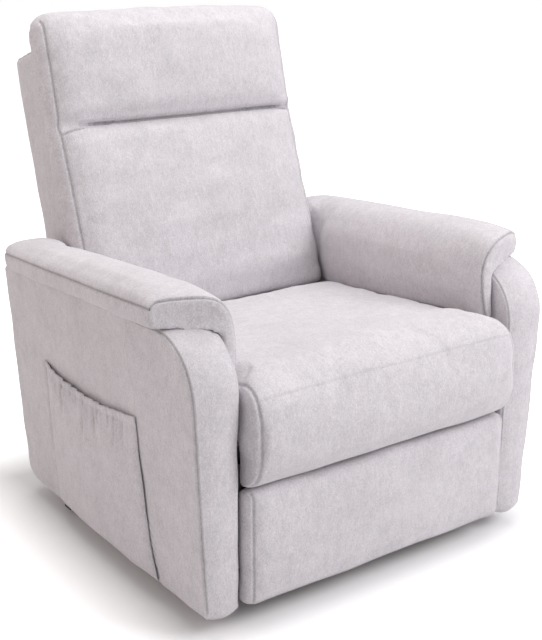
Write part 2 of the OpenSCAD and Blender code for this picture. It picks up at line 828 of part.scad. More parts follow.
function pad_ring(y) =
    let (f = y - pad_y0, b = pad_y0 + pad_l - y,
         e = edge_in(f, pad_round) + edge_in(b, pad_round),
         zb = pad_base(y), zt = arm_top(y),
         drape = ease((drape_end - y) / arm_heel_r),
         xo = pad_out - edge_in(f, pad_corner) - edge_in(b, pad_corner),
         xi = mix(half_gap - pad_rear_lap, pad_inner, drape) + e / 4,
         zd = mix(zt - pad_tail_h, seat_top(y) + seat_pad_gap, drape),
         edge = zt + pad_edge - e / 2,
         top = zt + pad_crown - pad_thin * f / pad_l - e,
         wall = half_gap - seat_clear, n = pad_over_n)
    concat(
        [for (i = [0:pad_k - 1])
            i == 0 ? [xo - pad_foot_in, y, zb + pad_roll]
            : i < 3 ? [xo, y, mix(zb, edge, pad_side_shares[i - 1])]
            : i < n ? let (a = 180 * (i - 3) / (n - 3))
                [mix(xi, xo - pad_top_in, 0.5 + 0.5 * bend(cos(a), pad_crown_share)), y,
                 edge + (top - edge) * pow(sin(a), round_share)]
            : [min(wall - pad_wall_gap, xi + (i == pad_k - 1 ? pad_hem : 0)), y,
               mix(edge - pad_drape_top, zd, (i - n + 1) / (pad_k - n))]],
        [for (j = [0:pad_k - 1]) let (i = pad_k - 1 - j)
            i < n ? [mix(xo - pad_base_in, wall, i / (n - 1)), y, zb]
            : [wall, y, mix(zb, zd, (i - n + 1) / (pad_k - n))]]);
module arm_pad() {
    n = 16;
    color(fabric) loft([for (i = [0:n]) pad_ring(pad_y0 + pad_l * closer(i / n))], pad_k);
}
module arm_pad_right() { place() arm_pad(); }
module arm_pad_left() { to_left() arm_pad_right(); }

// Lays a piece drawn as [along the arm, up its face, out of it] on the left arm's outer face
module on_left_face() {
    translate([-arm_out_foot, 0, arm_clear]) rotate([0, -arm_tilt, 0])
        multmatrix([[0, 0, -1, 0], [1, 0, 0, 0], [0, 1, 0, 0], [0, 0, 0, 1]]) children();
}

// Gathered pocket: a sheet that stands off the arm, closed at its sides and foot
cloth_t = 2.5;
pocket_sag = 10;
gather = 1.6;
gathers = 8;
pocket_side_power_share = 0.35;
pocket_foot_share = 0.11;
pocket_k = 14;
pocket_n = 32;
function pocket_off(a, b) =
    pocket_full * pow(arch(a), pocket_side_power_share)
        * sqrt(1 - pow(1 - min(1, b / pocket_foot_share), 2))
    + gather * pow(b, 4) * sin(180 * a) * cos(360 * gathers * a);
function pocket_point(a, i, t) =
    let (b = i / (pocket_k - 1), top = pocket_h - pocket_sag * sin(180 * a))
    [pocket_y + pocket_w * a, top * b, seat_clear + t + pocket_off(a, b)];
function pocket_ring(a) = concat(
    [for (i = [0:pocket_k - 1]) pocket_point(a, i, cloth_t)],
    [for (i = [pocket_k - 1:-1:0]) pocket_point(a, i, 0)]);
module side_pocket() {
    color(fabric) place() on_left_face()
        loft([for (i = [0:pocket_n]) pocket_ring(closer(i / pocket_n))], pocket_k);
}

// Control box on the rear cross tube, and its power inlet
box_size = [130, 62, 34];
box_r = 6;
box_front = 2;
inlet_r = 9;
inlet_bore_r = 5;
inlet_l = 16;
inlet_floor = 3;
box_x = -act_x - motor_d / 2;
box_at = [box_x, rear_cross[0] - box_front, rear_cross[1] + tube];
inlet_at = box_at + [0, box_size[1], box_size[2] / 2];
module control_box() {
    color(plastic) place() translate(box_at - [box_size[0] / 2, 0, 0])
        linear_extrude(box_size[2]) round_box([box_size[0], box_size[1]], box_r);
}
module power_inlet() {
    color(grey_plastic) place() translate(inlet_at) rotate([-90, 0, 0]) difference() {
        cylinder(r = inlet_r, h = inlet_l);
        translate([0, 0, inlet_floor]) cylinder(r = inlet_bore_r, h = inlet_l);
    }
}

// Panel that closes the back below the reclining back, with a port for the lead's plug
valance_t = 12;
valance_gap = 20;
valance_drop = 106;
port_r = 14;
module rear_valance() {
    w = 2 * (half_gap - seat_clear);
    y0 = inlet_at[1] + inlet_l + valance_gap;
    z0 = arm_clear + panel_gap;
    color(fabric) place() difference() {
        translate([-w / 2, y0, z0]) cube([w, valance_t, plate_top - valance_drop - z0]);
        translate([inlet_at[0], y0 - overrun, inlet_at[2]]) rotate([-90, 0, 0])
            cylinder(r = port_r, h = valance_t + 2 * overrun);
    }
}

// Handset that stands in the pocket, and its four buttons
handset_size = [50, 150, 13];
handset_r = 9;
handset_foot = 40;
handset_at = [pocket_y + (pocket_w - handset_size[0]) / 2, handset_foot];
button_r = 6;
button_out = 1.4;
button_sink = 4;
button_travel = 1.2;
button_gap = 0.25;
button_step = 22;
button_top = 26;
function button_at(i) = handset_at + [handset_size[0] / 2, handset_size[1] - button_top - button_step * i];
module handset() {
    well = button_sink + button_travel;
    color(grey_plastic) place() on_left_face() translate([0, 0, seat_clear]) difference() {
        translate(handset_at) linear_extrude(handset_size[2])
            round_box([handset_size[0], handset_size[1]], handset_r);
        for (i = [0:3]) translate(button_at(i)) translate([0, 0, handset_size[2] - well])
            cylinder(r = button_r + button_gap, h = well + overrun);
    }
}
module button(i) {
    color(plastic) place() on_left_face() translate(button_at(i))
        translate([0, 0, seat_clear + handset_size[2] - button_sink])
            cylinder(r = button_r, h = button_sink + button_out);
}
module back_up_button() { button(0); }
module back_down_button() { button(1); }
module lift_up_button() { button(2); }
module lift_down_button() { button(3); }

// Places in the leaning back: t towards its rear, s up along it
function lean_at(x, t, s) = [x, hinge_y + s * sin(back_lean) + t * cos(back_lean),
                             hinge_z + s * cos(back_lean) - t * sin(back_lean)];
// Lays a piece drawn as [x, t, s] in the leaning back
module in_back() {
    place() translate([0, hinge_y, hinge_z]) rotate([-back_lean, 0, 0]) children();
}

back_bracket_l = 230;
back_bracket_w = 36;
bracket_boss_r = 22;
bracket_web_r = 13;
crank_eye_r = 12;
module back_bracket() {
    color(steel) {
        plate_at(mid_x, bar_t) difference() {
            union() {
                eye(hinge_q, bracket_boss_r);
                eye(drive_rear, crank_eye_r);
                web(hinge_q, drive_rear, bracket_web_r);
                translate(hinge_q) rotate(-back_lean)
                    translate([-back_bracket_w, 0]) square([back_bracket_w, back_bracket_l]);
            }
            eye(hinge_q, hinge_pin_r + run_clear);
        }
        out_pin(drive_rear, mid_x, drive_x, pin_r, head_r + slot_clear);
    }
}
module back_bracket_right() { place() back_bracket(); }
module back_bracket_left() { to_left() back_bracket_right(); }

// Tube along the back hinge with the crank that the recline rod pushes
crank_tube_r = 13;
module back_crank_tube() {
    end = mid_x - bar_t;
    color(steel) place() {
        difference() {
            pin(hinge_q, crank_tube_r, -end, end);
            pin(hinge_q, crank_tube_r - tube_wall, -end - overrun, end + overrun);
        }
        ears(act_x, crank_gap, ear_t) difference() {
            union() {
                eye(hinge_q, crank_tube_r + crank_lip);
                eye(recline_k, crank_eye_r);
                web(hinge_q, recline_k, crank_eye_r);
            }
            eye(hinge_q, crank_tube_r - tube_wall / 2);
        }
        pin(recline_k, pin_r, act_x - crank_gap / 2 - ear_t, act_x + crank_gap / 2 + ear_t);
    }
}

// Upholstered shell of the back: a tray open to the front and below
shell_half = mid_x - bar_t;
shell_front_t = 72;
shell_wall = 8;
shell_r = 34;
module shell_outline(w, d, r) {
    square([w, d - r]);
    translate([r, 0]) square([w - 2 * r, d]);
    for (x = [r, w - r]) translate([x, d - r]) circle(r);
}
module back_shell() {
    depth = shell_front_t + shell_rear_t;
    h = shell_top_s - shell_foot_s;
    color(fabric) in_back() difference() {
        translate([-shell_half, -shell_front_t, shell_foot_s])
            linear_extrude(h) shell_outline(2 * shell_half, depth, shell_r);
        translate([-shell_half + shell_wall, -shell_front_t - overrun, shell_foot_s - shell_wall])
            linear_extrude(h) shell_outline(2 * (shell_half - shell_wall), depth - shell_wall + overrun,
                                            shell_r - shell_wall);
        translate([-shell_half - overrun, 0, 0]) rotate([0, 90, 0])
            cylinder(r = crank_tube_r + seat_clear, h = 2 * shell_half + 2 * overrun);
    }
}

// Timber back frame inside the shell
post_w = 34;
post_t = 40;
back_rail_h = 60;
frame_foot_s = 24;
module back_frame() {
    inner = shell_half - shell_wall;
    top = shell_top_s - shell_wall;
    color(timber) in_back() {
        both_sides() translate([inner - post_w, -shell_front_t, frame_foot_s])
            cube([post_w, post_t, top - frame_foot_s]);
        for (z = [frame_foot_s, top - back_rail_h])
            translate([-inner + post_w, -shell_front_t, z])
                cube([2 * (inner - post_w), post_t / 2, back_rail_h]);
    }
}

back_spring_n = 4;
back_wave_n = 8;
module back_springs() {
    inner = shell_half - shell_wall - post_w;
    s0 = frame_foot_s + back_rail_h;
    s1 = shell_top_s - shell_wall - back_rail_h;
    color(zinc) in_back() for (i = [1:back_spring_n])
        translate([-inner + spring_in, -shell_front_t + 2 * wire, mix(s0, s1, (i - 0.5) / back_spring_n)])
            rotate([90, 0, 0]) wave(2 * (inner - spring_in), back_wave_n, spring_a);
}

// Back cushion: rings across the chair, each the cushion's side outline in the lean
back_side_gap = 3;
back_half = pad_inner - back_side_gap;
back_foot_s = 42;
back_low_t = 72;
back_tuck_t = 47;
back_top_t = 52;
back_min_t = 8;
back_bulge = 24;
head_bulge = 14;
back_bulge_power_share = 0.7;
tuck_deep = 9;
tuck_wide = 16;
back_round = 24;
back_foot_round = 20;
back_top_round = 34;
back_top_drop = 6;
back_even_share = 0.6;
back_k = 22;
function back_thick(s, u) =
    let (low = s < tuck_s,
         p = low ? (s - back_foot_s) / (tuck_s - back_foot_s) : (s - tuck_s) / (back_len - tuck_s),
         body = low ? mix(back_low_t, back_tuck_t, p) : mix(back_tuck_t, back_top_t, p),
         full = (low ? back_bulge : head_bulge) * pow(arch(p), back_bulge_power_share),
         dip = tuck_deep * max(0, 1 - pow((s - tuck_s) / tuck_wide, 2)))
    body + full * (1 - pow(abs(u), 3)) - dip;
function back_s(s0, s1, i) = let (p = i / (back_k - 1)) mix(s0, s1, mix(p, closer(p), back_even_share));
function back_ring(u) =
    let (e = edge_in((1 - abs(u)) * back_half, back_round), x = u * back_half,
         s0 = back_foot_s + e * foot_inset_share, s1 = back_len - e / 2 - back_top_drop * u * u,
         face = -shell_front_t - seat_clear)
    concat(
        [for (i = [0:back_k - 1])
            let (s = back_s(s0, s1, i),
                 r = edge_in(s - s0, back_foot_round) + edge_in(s1 - s, back_top_round))
            lean_at(x, face - max(back_min_t, back_thick(s, u) - e - r), s)],
        [for (i = [back_k - 1:-1:0]) lean_at(x, face, back_s(s0, s1, i))]);
module back_cushion() {
    color(fabric) place() loft([for (u = across(12)) back_ring(u)], back_k);
}

// Footrest links, laid in their layers from the outside in
module flat_link(points, r, outer) {
    plate_at(outer, bar_t) {
        for (p = points) eye(p, r);
        for (i = [0:len(points) - 2]) web(points[i], points[i + 1], r);
    }
}

module inner_link() {
    color(zinc) {
        difference() {
            union() {
                flat_link([inner_top, inner_low, front_stay_low], link_r, mid_x);
                flat_link([inner_top, drive_front], link_r, mid_x);
            }
            bore(inner_top, pin_r + run_clear, mid_x);
        }
        out_pin(inner_low, mid_x, drive_x, pin_r, head_r);
        out_pin(drive_front, mid_x, drive_x, pin_r, head_r);
        in_pin(front_stay_low, mid_x - bar_t, stay_x - bar_t, pin_r, head_r);
    }
}
module inner_link_right() { place() inner_link(); }
module inner_link_left() { to_left() inner_link_right(); }

drive_tube_r = 12;
module drive_tube() {
    end = mid_x - bar_t;
    color(steel) place() difference() {
        pin(inner_top, drive_tube_r, -end, end);
        pin(inner_top, drive_tube_r - tube_wall, -end - overrun, end + overrun);
    }
}

module outer_links() {
    color(zinc) place() both_sides() {
        difference() {
            flat_link([outer_end, inner_low, rear_stay_low], link_r, drive_x);
            bore(inner_low, pin_r + run_clear, drive_x);
        }
        in_pin(outer_end, drive_x - bar_t, mid_x - bar_t, pin_r, head_r);
        out_pin(rear_stay_low, drive_x, rear_stay_x, pin_r, head_r);
    }
}

module rear_stay_links() {
    color(zinc) place() both_sides() difference() {
        flat_link([rear_stay_top, rear_stay_low], link_r, rear_stay_x);
        bore(rear_stay_top, pin_r + run_clear, rear_stay_x);
        bore(rear_stay_low, pin_r + open_clear, rear_stay_x);
    }
}

module front_stay_links() {
    color(zinc) place() both_sides() difference() {
        flat_link([front_stay_low, front_stay_end], link_r, stay_x);
        bore(front_stay_low, pin_r + run_clear, stay_x);
        bore(front_stay_end, pin_r + open_clear, stay_x);
    }
}

drive_r = 9;
drive_eye_lip = 6;
module drive_links() {
    color(zinc) place() both_sides() difference() {
        plate_at(drive_x, bar_t) {
            eye(drive_front, drive_r);
            eye(drive_rear, drive_r + drive_eye_lip);
            web(drive_front, drive_rear, drive_r);
        }
        bore(drive_front, pin_r + run_clear, drive_x);
        bore(drive_rear, pin_r + slot_clear, drive_x);
    }
}

// Footrest panel: brackets, board and padding
flange_w = 40;
flange_t = 3;
flange_low = 80;
flange_h = 116;
bracket_drop = 34;
bracket_shares = [[0, 0.82], [0.73, -0.36], [0.82, -0.36], [0, -0.82]];
module footrest_brackets() {
    color(zinc) place() both_sides() {
        difference() {
            plate_at(mid_x, bar_t) {
                eye(outer_end, link_r);
                eye(front_stay_end, link_r);
                polygon([[foot_back, front_stay_end[1] - bracket_drop],
                         [foot_back, outer_end[1] + link_r * bracket_shares[0][1]],
                         outer_end + link_r * bracket_shares[0], outer_end + link_r * bracket_shares[1],
                         front_stay_end + link_r * bracket_shares[2],
                         front_stay_end + link_r * bracket_shares[3]]);
            }
            bore(outer_end, pin_r + run_clear, mid_x);
        }
        translate([mid_x - flange_w, foot_back, front_stay_end[1] - flange_low])
            cube([flange_w, flange_t, flange_h]);
        in_pin(front_stay_end, mid_x - bar_t, stay_x - bar_t, pin_r, head_r + open_clear);
    }
}

board_in = 14;
board_r = 20;
module footrest_board() {
    color(timber) place()
        translate([-foot_w / 2 + board_in, foot_back, arm_clear + foot_low + board_in])
            rotate([90, 0, 0]) linear_extrude(foot_board_t)
                round_box([foot_w - 2 * board_in, foot_panel_h - foot_low - 2 * board_in], board_r);
}

foot_k = 12;
foot_crown = 8;
foot_round = 16;
function foot_ring(u) =
    let (e = edge_in((1 - abs(u)) * foot_w / 2, foot_round), x = u * foot_w / 2,
         z0 = arm_clear + foot_low + e / 2, z1 = arm_clear + foot_panel_h - e / 2,
         back = foot_front + foot_pad_t - seat_clear)
    concat(
        [for (i = [0:foot_k - 1])
            let (p = i / (foot_k - 1), z = mix(z0, z1, closer(p)),
                 r = edge_in(z - z0, foot_round) + edge_in(z1 - z, foot_round))
            [x, foot_front + e + r - foot_crown * (1 - pow(abs(u), 4)) * sin(180 * p), z]],
        [for (i = [foot_k - 1:-1:0]) [x, back, mix(z0, z1, closer(i / (foot_k - 1)))]]);
module footrest_pad() {
    color(fabric) place() loft([for (u = across(12)) foot_ring(u)], foot_k);
}

// Each named piece by itself, or all of them
base_rail_left();
base_rail_right();
base_front_tube();
base_rear_tube();
lift_riser_left();
lift_riser_right();
actuator_bracket();
floor_glides();
lift_torque_tube();
lower_link_left();
lower_link_right();
upper_link_left();
upper_link_right();
lift_actuator();
lift_actuator_rod();
side_plate_left();
side_plate_right();
carriage_pins();
lift_plate_left();
lift_plate_right();
front_cross_tube();
rear_cross_tube();
seat_frame();
seat_springs();
seat_cushion();
arm_frame_left();
arm_frame_right();
arm_cover_left();
arm_cover_right();
arm_pad_left();
arm_pad_right();
side_pocket();
rear_valance();
control_box();
power_inlet();
handset();
back_up_button();
back_down_button();
lift_up_button();
lift_down_button();
back_bracket_left();
back_bracket_right();
back_crank_tube();
back_frame();
back_springs();
back_shell();
back_cushion();
recline_actuator();
recline_actuator_rod();
inner_link_left();
inner_link_right();
drive_tube();
outer_links();
rear_stay_links();
front_stay_links();
drive_links();
footrest_brackets();
footrest_board();
footrest_pad();
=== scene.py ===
"""Power lift recliner in light warm-grey chenille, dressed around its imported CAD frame.

Lengths are in millimetres in the chair's own layout: x across, y from the arm fronts to the
back, z up from the floor. Units.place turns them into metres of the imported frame.
"""

import json
import logging
import math
from dataclasses import dataclass
from enum import Enum

import bmesh
import bpy
import numpy as np
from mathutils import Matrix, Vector
from mathutils.bvhtree import BVHTree
from mathutils.kdtree import KDTree


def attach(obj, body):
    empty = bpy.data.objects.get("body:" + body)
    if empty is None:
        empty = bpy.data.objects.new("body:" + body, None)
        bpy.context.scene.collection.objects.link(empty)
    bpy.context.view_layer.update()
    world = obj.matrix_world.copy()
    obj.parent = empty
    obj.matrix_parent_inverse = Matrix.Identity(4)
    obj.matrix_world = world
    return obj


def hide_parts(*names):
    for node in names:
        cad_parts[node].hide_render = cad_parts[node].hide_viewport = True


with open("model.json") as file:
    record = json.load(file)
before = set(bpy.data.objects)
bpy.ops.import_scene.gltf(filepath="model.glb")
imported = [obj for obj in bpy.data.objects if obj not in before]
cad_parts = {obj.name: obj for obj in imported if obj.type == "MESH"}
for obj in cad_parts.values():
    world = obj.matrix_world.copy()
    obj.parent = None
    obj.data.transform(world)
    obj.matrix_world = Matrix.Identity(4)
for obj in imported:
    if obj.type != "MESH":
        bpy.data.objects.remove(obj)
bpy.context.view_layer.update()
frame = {"nodes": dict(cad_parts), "record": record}
PUFF_FRAMES = 20
LOG = logging.getLogger("recliner")


class Side(Enum):
    """The chair's two sides, as the sign of x in the photograph's view."""

    LEFT = -1
    RIGHT = 1


class Slot(Enum):
    """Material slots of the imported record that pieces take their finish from."""

    UPHOLSTERY = "upholstery"
    TIMBER = "timber"
    BLACK_STEEL = "black_steel"
    ZINC_STEEL = "zinc_steel"
    BLACK_PLASTIC = "black_plastic"
    GREY_PLASTIC = "grey_plastic"


@dataclass(frozen=True)
class ChairSizes:
    """Main sizes of the chair in millimetres and degrees, as the CAD source has them."""

    mid_y: float = 439.588
    half_gap: float = 322.0
    arm_clear: float = 45.0
    arm_foot_w: float = 73.0
    arm_flare: float = 27.0
    arm_l: float = 753.0
    arm_top_z: float = 573.0
    arm_drop: float = 40.0
    arm_front_r: float = 108.0
    pad_overhang: float = 19.0
    pad_crown: float = 65.0
    pad_edge: float = 37.0
    seat_h: float = 470.0
    seat_fall: float = 52.0
    seat_d: float = 544.0
    seat_nose: float = 44.0
    seat_bottom: float = 364.3
    apron_bottom: float = 279.0
    apron_back: float = 20.0
    back_lean: float = 15.5
    back_len: float = 712.0
    tuck_s: float = 466.0
    hinge_y: float = 698.0
    hinge_z: float = 338.0
    shell_half: float = 300.0
    shell_front_t: float = 72.0
    shell_rear_t: float = 62.0
    shell_top_s: float = 640.0
    shell_foot_s: float = -40.0

    @property
    def arm_h(self) -> float:
        """Height of the arm's front line above its foot."""
        return self.arm_top_z - self.arm_clear

    @property
    def arm_slope(self) -> float:
        """Fall of the arm's top line per millimetre towards the back."""
        return self.arm_drop / self.arm_l

    @property
    def arc_z(self) -> float:
        """Height of the centre of the arm's front top arc."""
        m, r = self.arm_slope, self.arm_front_r
        return self.arm_top_z - m * r - r * math.sqrt(1 + m * m)

    def arm_top(self, y: np.ndarray) -> np.ndarray:
        """Top line of the arm at distances from its front."""
        return self.arm_top_z - self.arm_slope * y

    def arm_out(self, z: np.ndarray) -> np.ndarray:
        """Outer face of the arm at heights."""
        rise = (z - self.arm_clear) / self.arm_h
        return self.half_gap + self.arm_foot_w + self.arm_flare * rise

    def seat_top(self, y: np.ndarray) -> np.ndarray:
        """Top of the seat along its side, away from the nose."""
        return self.seat_h + 4.0 - self.seat_fall * y / self.seat_d

    def lean_at(self, x: np.ndarray, t: np.ndarray, s: np.ndarray) -> np.ndarray:
        """Points of the leaning back, with t towards its rear and s up along it.

        Args:
            x: Places across the chair.
            t: Places across the back's thickness, from the hinge line.
            s: Places up along the back, from the hinge.

        Returns:
            The points in the chair's layout, one row each.
        """
        a = math.radians(self.back_lean)
        x, t, s = np.broadcast_arrays(x, t, s)
        return spots_at(x, self.hinge_y + s * math.sin(a) + t * math.cos(a),
                        self.hinge_z + s * math.cos(a) - t * math.sin(a))


class Units:
    """Turns millimetres of the chair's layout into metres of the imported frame."""

    @staticmethod
    def place(points: np.ndarray, sizes: ChairSizes) -> np.ndarray:
        """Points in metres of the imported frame, from the chair's layout."""
        return (np.asarray(points, float) - [0.0, sizes.mid_y, 0.0]) / 1000.0

    @staticmethod
    def lay(points: np.ndarray, sizes: ChairSizes) -> np.ndarray:
        """Points in the chair's layout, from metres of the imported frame."""
        return np.asarray(points, float) * 1000.0 + [0.0, sizes.mid_y, 0.0]


def edge_in(d: np.ndarray, r: float) -> np.ndarray:
    """Inset of an edge rounded to radius r at distances d from its end."""
    near = np.clip(r - np.asarray(d, float), 0.0, r)
    return r - np.sqrt(r * r - near * near)


def ease(t: np.ndarray) -> np.ndarray:
    """Smooth step from 0 to 1."""
    c = np.clip(t, 0.0, 1.0)
    return c * c * (3.0 - 2.0 * c)


def mix(a: np.ndarray, b: np.ndarray, t: np.ndarray) -> np.ndarray:
    """Value between a and b."""
    return a + (b - a) * t


def arch(t: np.ndarray) -> np.ndarray:
    """Sine of a share of a half turn, kept off zero at both ends."""
    return np.sin(np.pi * np.clip(t, 0.001, 0.999))


def bend(v: np.ndarray, p: float) -> np.ndarray:
    """Power of a value that keeps its sign."""
    return np.sign(v) * np.abs(v) ** p


def spots_at(x: object, y: object, z: object) -> np.ndarray:
    """Points from their coordinates, any of which may be one number for all."""
    return np.stack(np.broadcast_arrays(x, y, z), axis=-1).astype(float)


def across(count: int = 33) -> list:
    """Shares of a half width from -1 to 1, closer together near both ends."""
    return [float(u) for u in bend(np.sin(np.pi / 2 * np.linspace(-1, 1, count)), 0.8)]


def resample(line: np.ndarray, step: float) -> np.ndarray:
    """Points at even steps along a line.

    Args:
        line: Points of the line, in order.
        step: Distance between the new points, in the line's own unit.

    Returns:
        The new points, both ends included.
    """
    line = np.asarray(line, float)
    run = np.concatenate([[0.0], np.cumsum(np.linalg.norm(np.diff(line, axis=0), axis=1))])
    n = max(2, int(round(run[-1] / step)) + 1)
    at = np.linspace(0.0, run[-1], n)
    return np.stack([np.interp(at, run, line[:, k]) for k in range(line.shape[1])], axis=1)


class Mesher:
    """Makes and changes meshes; points go in and out in the chair's layout, in millimetres."""

    def __init__(self, sizes: ChairSizes) -> None:
        """Keeps the sizes that place the meshes."""
        self.sizes = sizes

    def make(self, name: str, points: np.ndarray, faces: list) -> bpy.types.Object:
        """A new object from points in the chair's layout and faces.

        Args:
            name: Name of the piece.
            points: Points in millimetres.
            faces: Tuples of point numbers.

        Returns:
            The object, linked to the scene, with its faces turned outward.
        """
        mesh = bpy.data.meshes.new(name)
        mesh.from_pydata(Units.place(points, self.sizes).tolist(), [], faces)
        bm = bmesh.new()
        bm.from_mesh(mesh)
        bmesh.ops.remove_doubles(bm, verts=bm.verts, dist=1e-6)
        bmesh.ops.recalc_face_normals(bm, faces=bm.faces)
        bm.to_mesh(mesh)
        bm.free()
        obj = bpy.data.objects.new(name, mesh)
        bpy.context.scene.collection.objects.link(obj)
        self.shade(obj)
        return obj

    @staticmethod
    def loft(rings: np.ndarray) -> tuple[np.ndarray, list]:
        """Points and faces of a closed solid through rings of equal counts.

        Args:
            rings: Array of rings, points and coordinates.

        Returns:
            The points as one list, and the faces with a cap at each end.
        """
        m, n = rings.shape[:2]
        faces = [(j * n + i, j * n + (i + 1) % n, (j + 1) * n + (i + 1) % n, (j + 1) * n + i)
                 for j in range(m - 1) for i in range(n)]
        faces.append(tuple(reversed(range(n))))
        faces.append(tuple((m - 1) * n + i for i in range(n)))
        return rings.reshape(-1, 3), faces

    @staticmethod
    def shade(obj: bpy.types.Object) -> None:
        """Smooth shading on every face."""
        obj.data.polygons.foreach_set("use_smooth", [True] * len(obj.data.polygons))
        obj.data.update()

    @staticmethod
    def settle(obj: bpy.types.Object) -> None:
        """Applies an object's modifiers to its mesh.

        Args:
            obj: The object to change.
        """
        bpy.context.view_layer.update()
        graph = bpy.context.evaluated_depsgraph_get()
        mesh = bpy.data.meshes.new_from_object(obj.evaluated_get(graph))
        old = obj.data
        obj.modifiers.clear()
        obj.data = mesh
        bpy.data.meshes.remove(old)

    def points(self, obj: bpy.types.Object) -> np.ndarray:
        """Points of an object's mesh, in the chair's layout.

        Args:
            obj: The object to look at.

        Returns:
            A row of millimetres for each point.
        """
        co = np.zeros(len(obj.data.vertices) * 3)
        obj.data.vertices.foreach_get("co", co)
        return Units.lay(co.reshape(-1, 3), self.sizes)

    def move(self, obj: bpy.types.Object, points: np.ndarray) -> None:
        """Writes points in the chair's layout to an object's mesh."""
        obj.data.vertices.foreach_set("co", Units.place(points, self.sizes).ravel())
        obj.data.update()

    @staticmethod
    def normals(obj: bpy.types.Object) -> np.ndarray:
        """Normals at an object's points.

        Args:
            obj: The object to look at.

        Returns:
            A unit vector for each point.
        """
        n = np.zeros(len(obj.data.vertices) * 3)
        obj.data.vertex_normals.foreach_get("vector", n)
        return n.reshape(-1, 3)

    def remesh(self, obj: bpy.types.Object, voxel: float, smooth: int) -> None:
        """Rebuilds a closed mesh in even faces and softens it.

        Args:
            obj: The object to change.
            voxel: Size of the faces in millimetres.
            smooth: Rounds of smoothing.
        """
        change = obj.modifiers.new("even", "REMESH")
        change.mode = "VOXEL"
        change.voxel_size = voxel / 1000.0
        change.use_smooth_shade = True
        if smooth:
            soft = obj.modifiers.new("soft", "SMOOTH")
            soft.iterations = smooth
            soft.factor = 0.5
        self.settle(obj)

    def subdivide(self, obj: bpy.types.Object) -> None:
        """One level of subdivision surface, applied.

        Args:
            obj: The object to change.
        """
        change = obj.modifiers.new("fine", "SUBSURF")
        change.levels = change.render_levels = 1
        self.settle(obj)

    def inflate(self, obj: bpy.types.Object, pressure: float, cap: float,
                free: np.ndarray) -> None:
        """Puffs a closed mesh as cloth under air pressure.

        Args:
            obj: The object to change.
            pressure: Pressure of the cloth simulation.
            cap: Furthest that a point may move, in millimetres.
            free: Share from 0 to 1 that each point may follow the cloth.
        """
        rest = self.points(obj)
        change = obj.modifiers.new("puff", "CLOTH")
        cloth = change.settings
        cloth.quality = 4
        cloth.mass = 0.3
        cloth.tension_stiffness = cloth.compression_stiffness = 15.0
        cloth.shear_stiffness = 5.0
        cloth.bending_stiffness = 0.5
        cloth.use_pressure = True
        cloth.uniform_pressure_force = pressure
        cloth.effector_weights.gravity = 0.0
        change.point_cache.frame_start, change.point_cache.frame_end = 1, PUFF_FRAMES
        scene = bpy.context.scene
        for step in range(1, PUFF_FRAMES + 1):
            scene.frame_set(step)
        graph = bpy.context.evaluated_depsgraph_get()
        mesh = obj.evaluated_get(graph).data
        co = np.zeros(len(mesh.vertices) * 3)
        mesh.vertices.foreach_get("co", co)
        step_by = Units.lay(co.reshape(-1, 3), self.sizes) - rest
        length = np.linalg.norm(step_by, axis=1, keepdims=True)
        step_by *= np.minimum(1.0, cap / np.maximum(length, 1e-9)) * free[:, None]
        obj.modifiers.remove(change)
        scene.frame_set(1)
        self.move(obj, rest + step_by)
        LOG.info("%s puffed by %.1f mm at most", obj.name, np.linalg.norm(step_by, axis=1).max())

    @staticmethod
    def tree(obj: bpy.types.Object) -> BVHTree:
        """Search tree of an object's surface, in metres."""
        bpy.context.view_layer.update()
        return BVHTree.FromObject(obj, bpy.context.evaluated_depsgraph_get())

    def onto(self, tree: BVHTree, line: np.ndarray) -> tuple[np.ndarray, np.ndarray]:
        """Nearest places on a surface to the points of a line.

        Args:
            tree: Search tree of the surface.
            line: Points in the chair's layout.

        Returns:
            The places in the chair's layout, and the surface's normals there.
        """
        found = [tree.find_nearest(Vector(p))[:2] for p in Units.place(line, self.sizes)]
        spots, ups = np.array([[tuple(spot), tuple(up)] for spot, up in found]).transpose(1, 0, 2)
        return Units.lay(spots, self.sizes), ups

    def nearness(self, obj: bpy.types.Object, lines: list, reach: float) -> list:
        """Distances of an object's points to lines.

        Args:
            obj: The object to look at.
            lines: Points of each line, close together.
            reach: Distance beyond which a point counts as that far away.

        Returns:
            For each line, the distance of every point, or the reach where it is further.
        """
        points, every = self.points(obj), np.concatenate(lines)
        low, high = every.min(0) - reach, every.max(0) + reach
        inside = np.nonzero(np.all((points > low) & (points < high), axis=1))[0]
        tree = KDTree(len(inside))
        for k, i in enumerate(inside):
            tree.insert(points[i], k)
        tree.balance()
        fars = []
        for line in lines:
            far = np.full(len(points), float(reach))
            for p in line:
                for _, k, d in tree.find_range(p, reach):
                    if d < far[inside[k]]:
                        far[inside[k]] = d
            fars.append(far)
        return fars

    def refine(self, obj: bpy.types.Object, lines: list, reach: float) -> None:
        """Splits the faces within reach of any line, so that a narrow seam shows.

        Args:
            obj: The object to change.
            lines: Points of each line, close together.
            reach: Distance in millimetres within which faces are split.
        """
        near = np.min(self.nearness(obj, lines, reach), axis=0) < reach
        bm = bmesh.new()
        bm.from_mesh(obj.data)
        edges = [e for e in bm.edges if near[e.verts[0].index] and near[e.verts[1].index]]
        bmesh.ops.subdivide_edges(bm, edges=edges, cuts=1, use_grid_fill=True)
        bm.to_mesh(obj.data)
        bm.free()
        self.shade(obj)

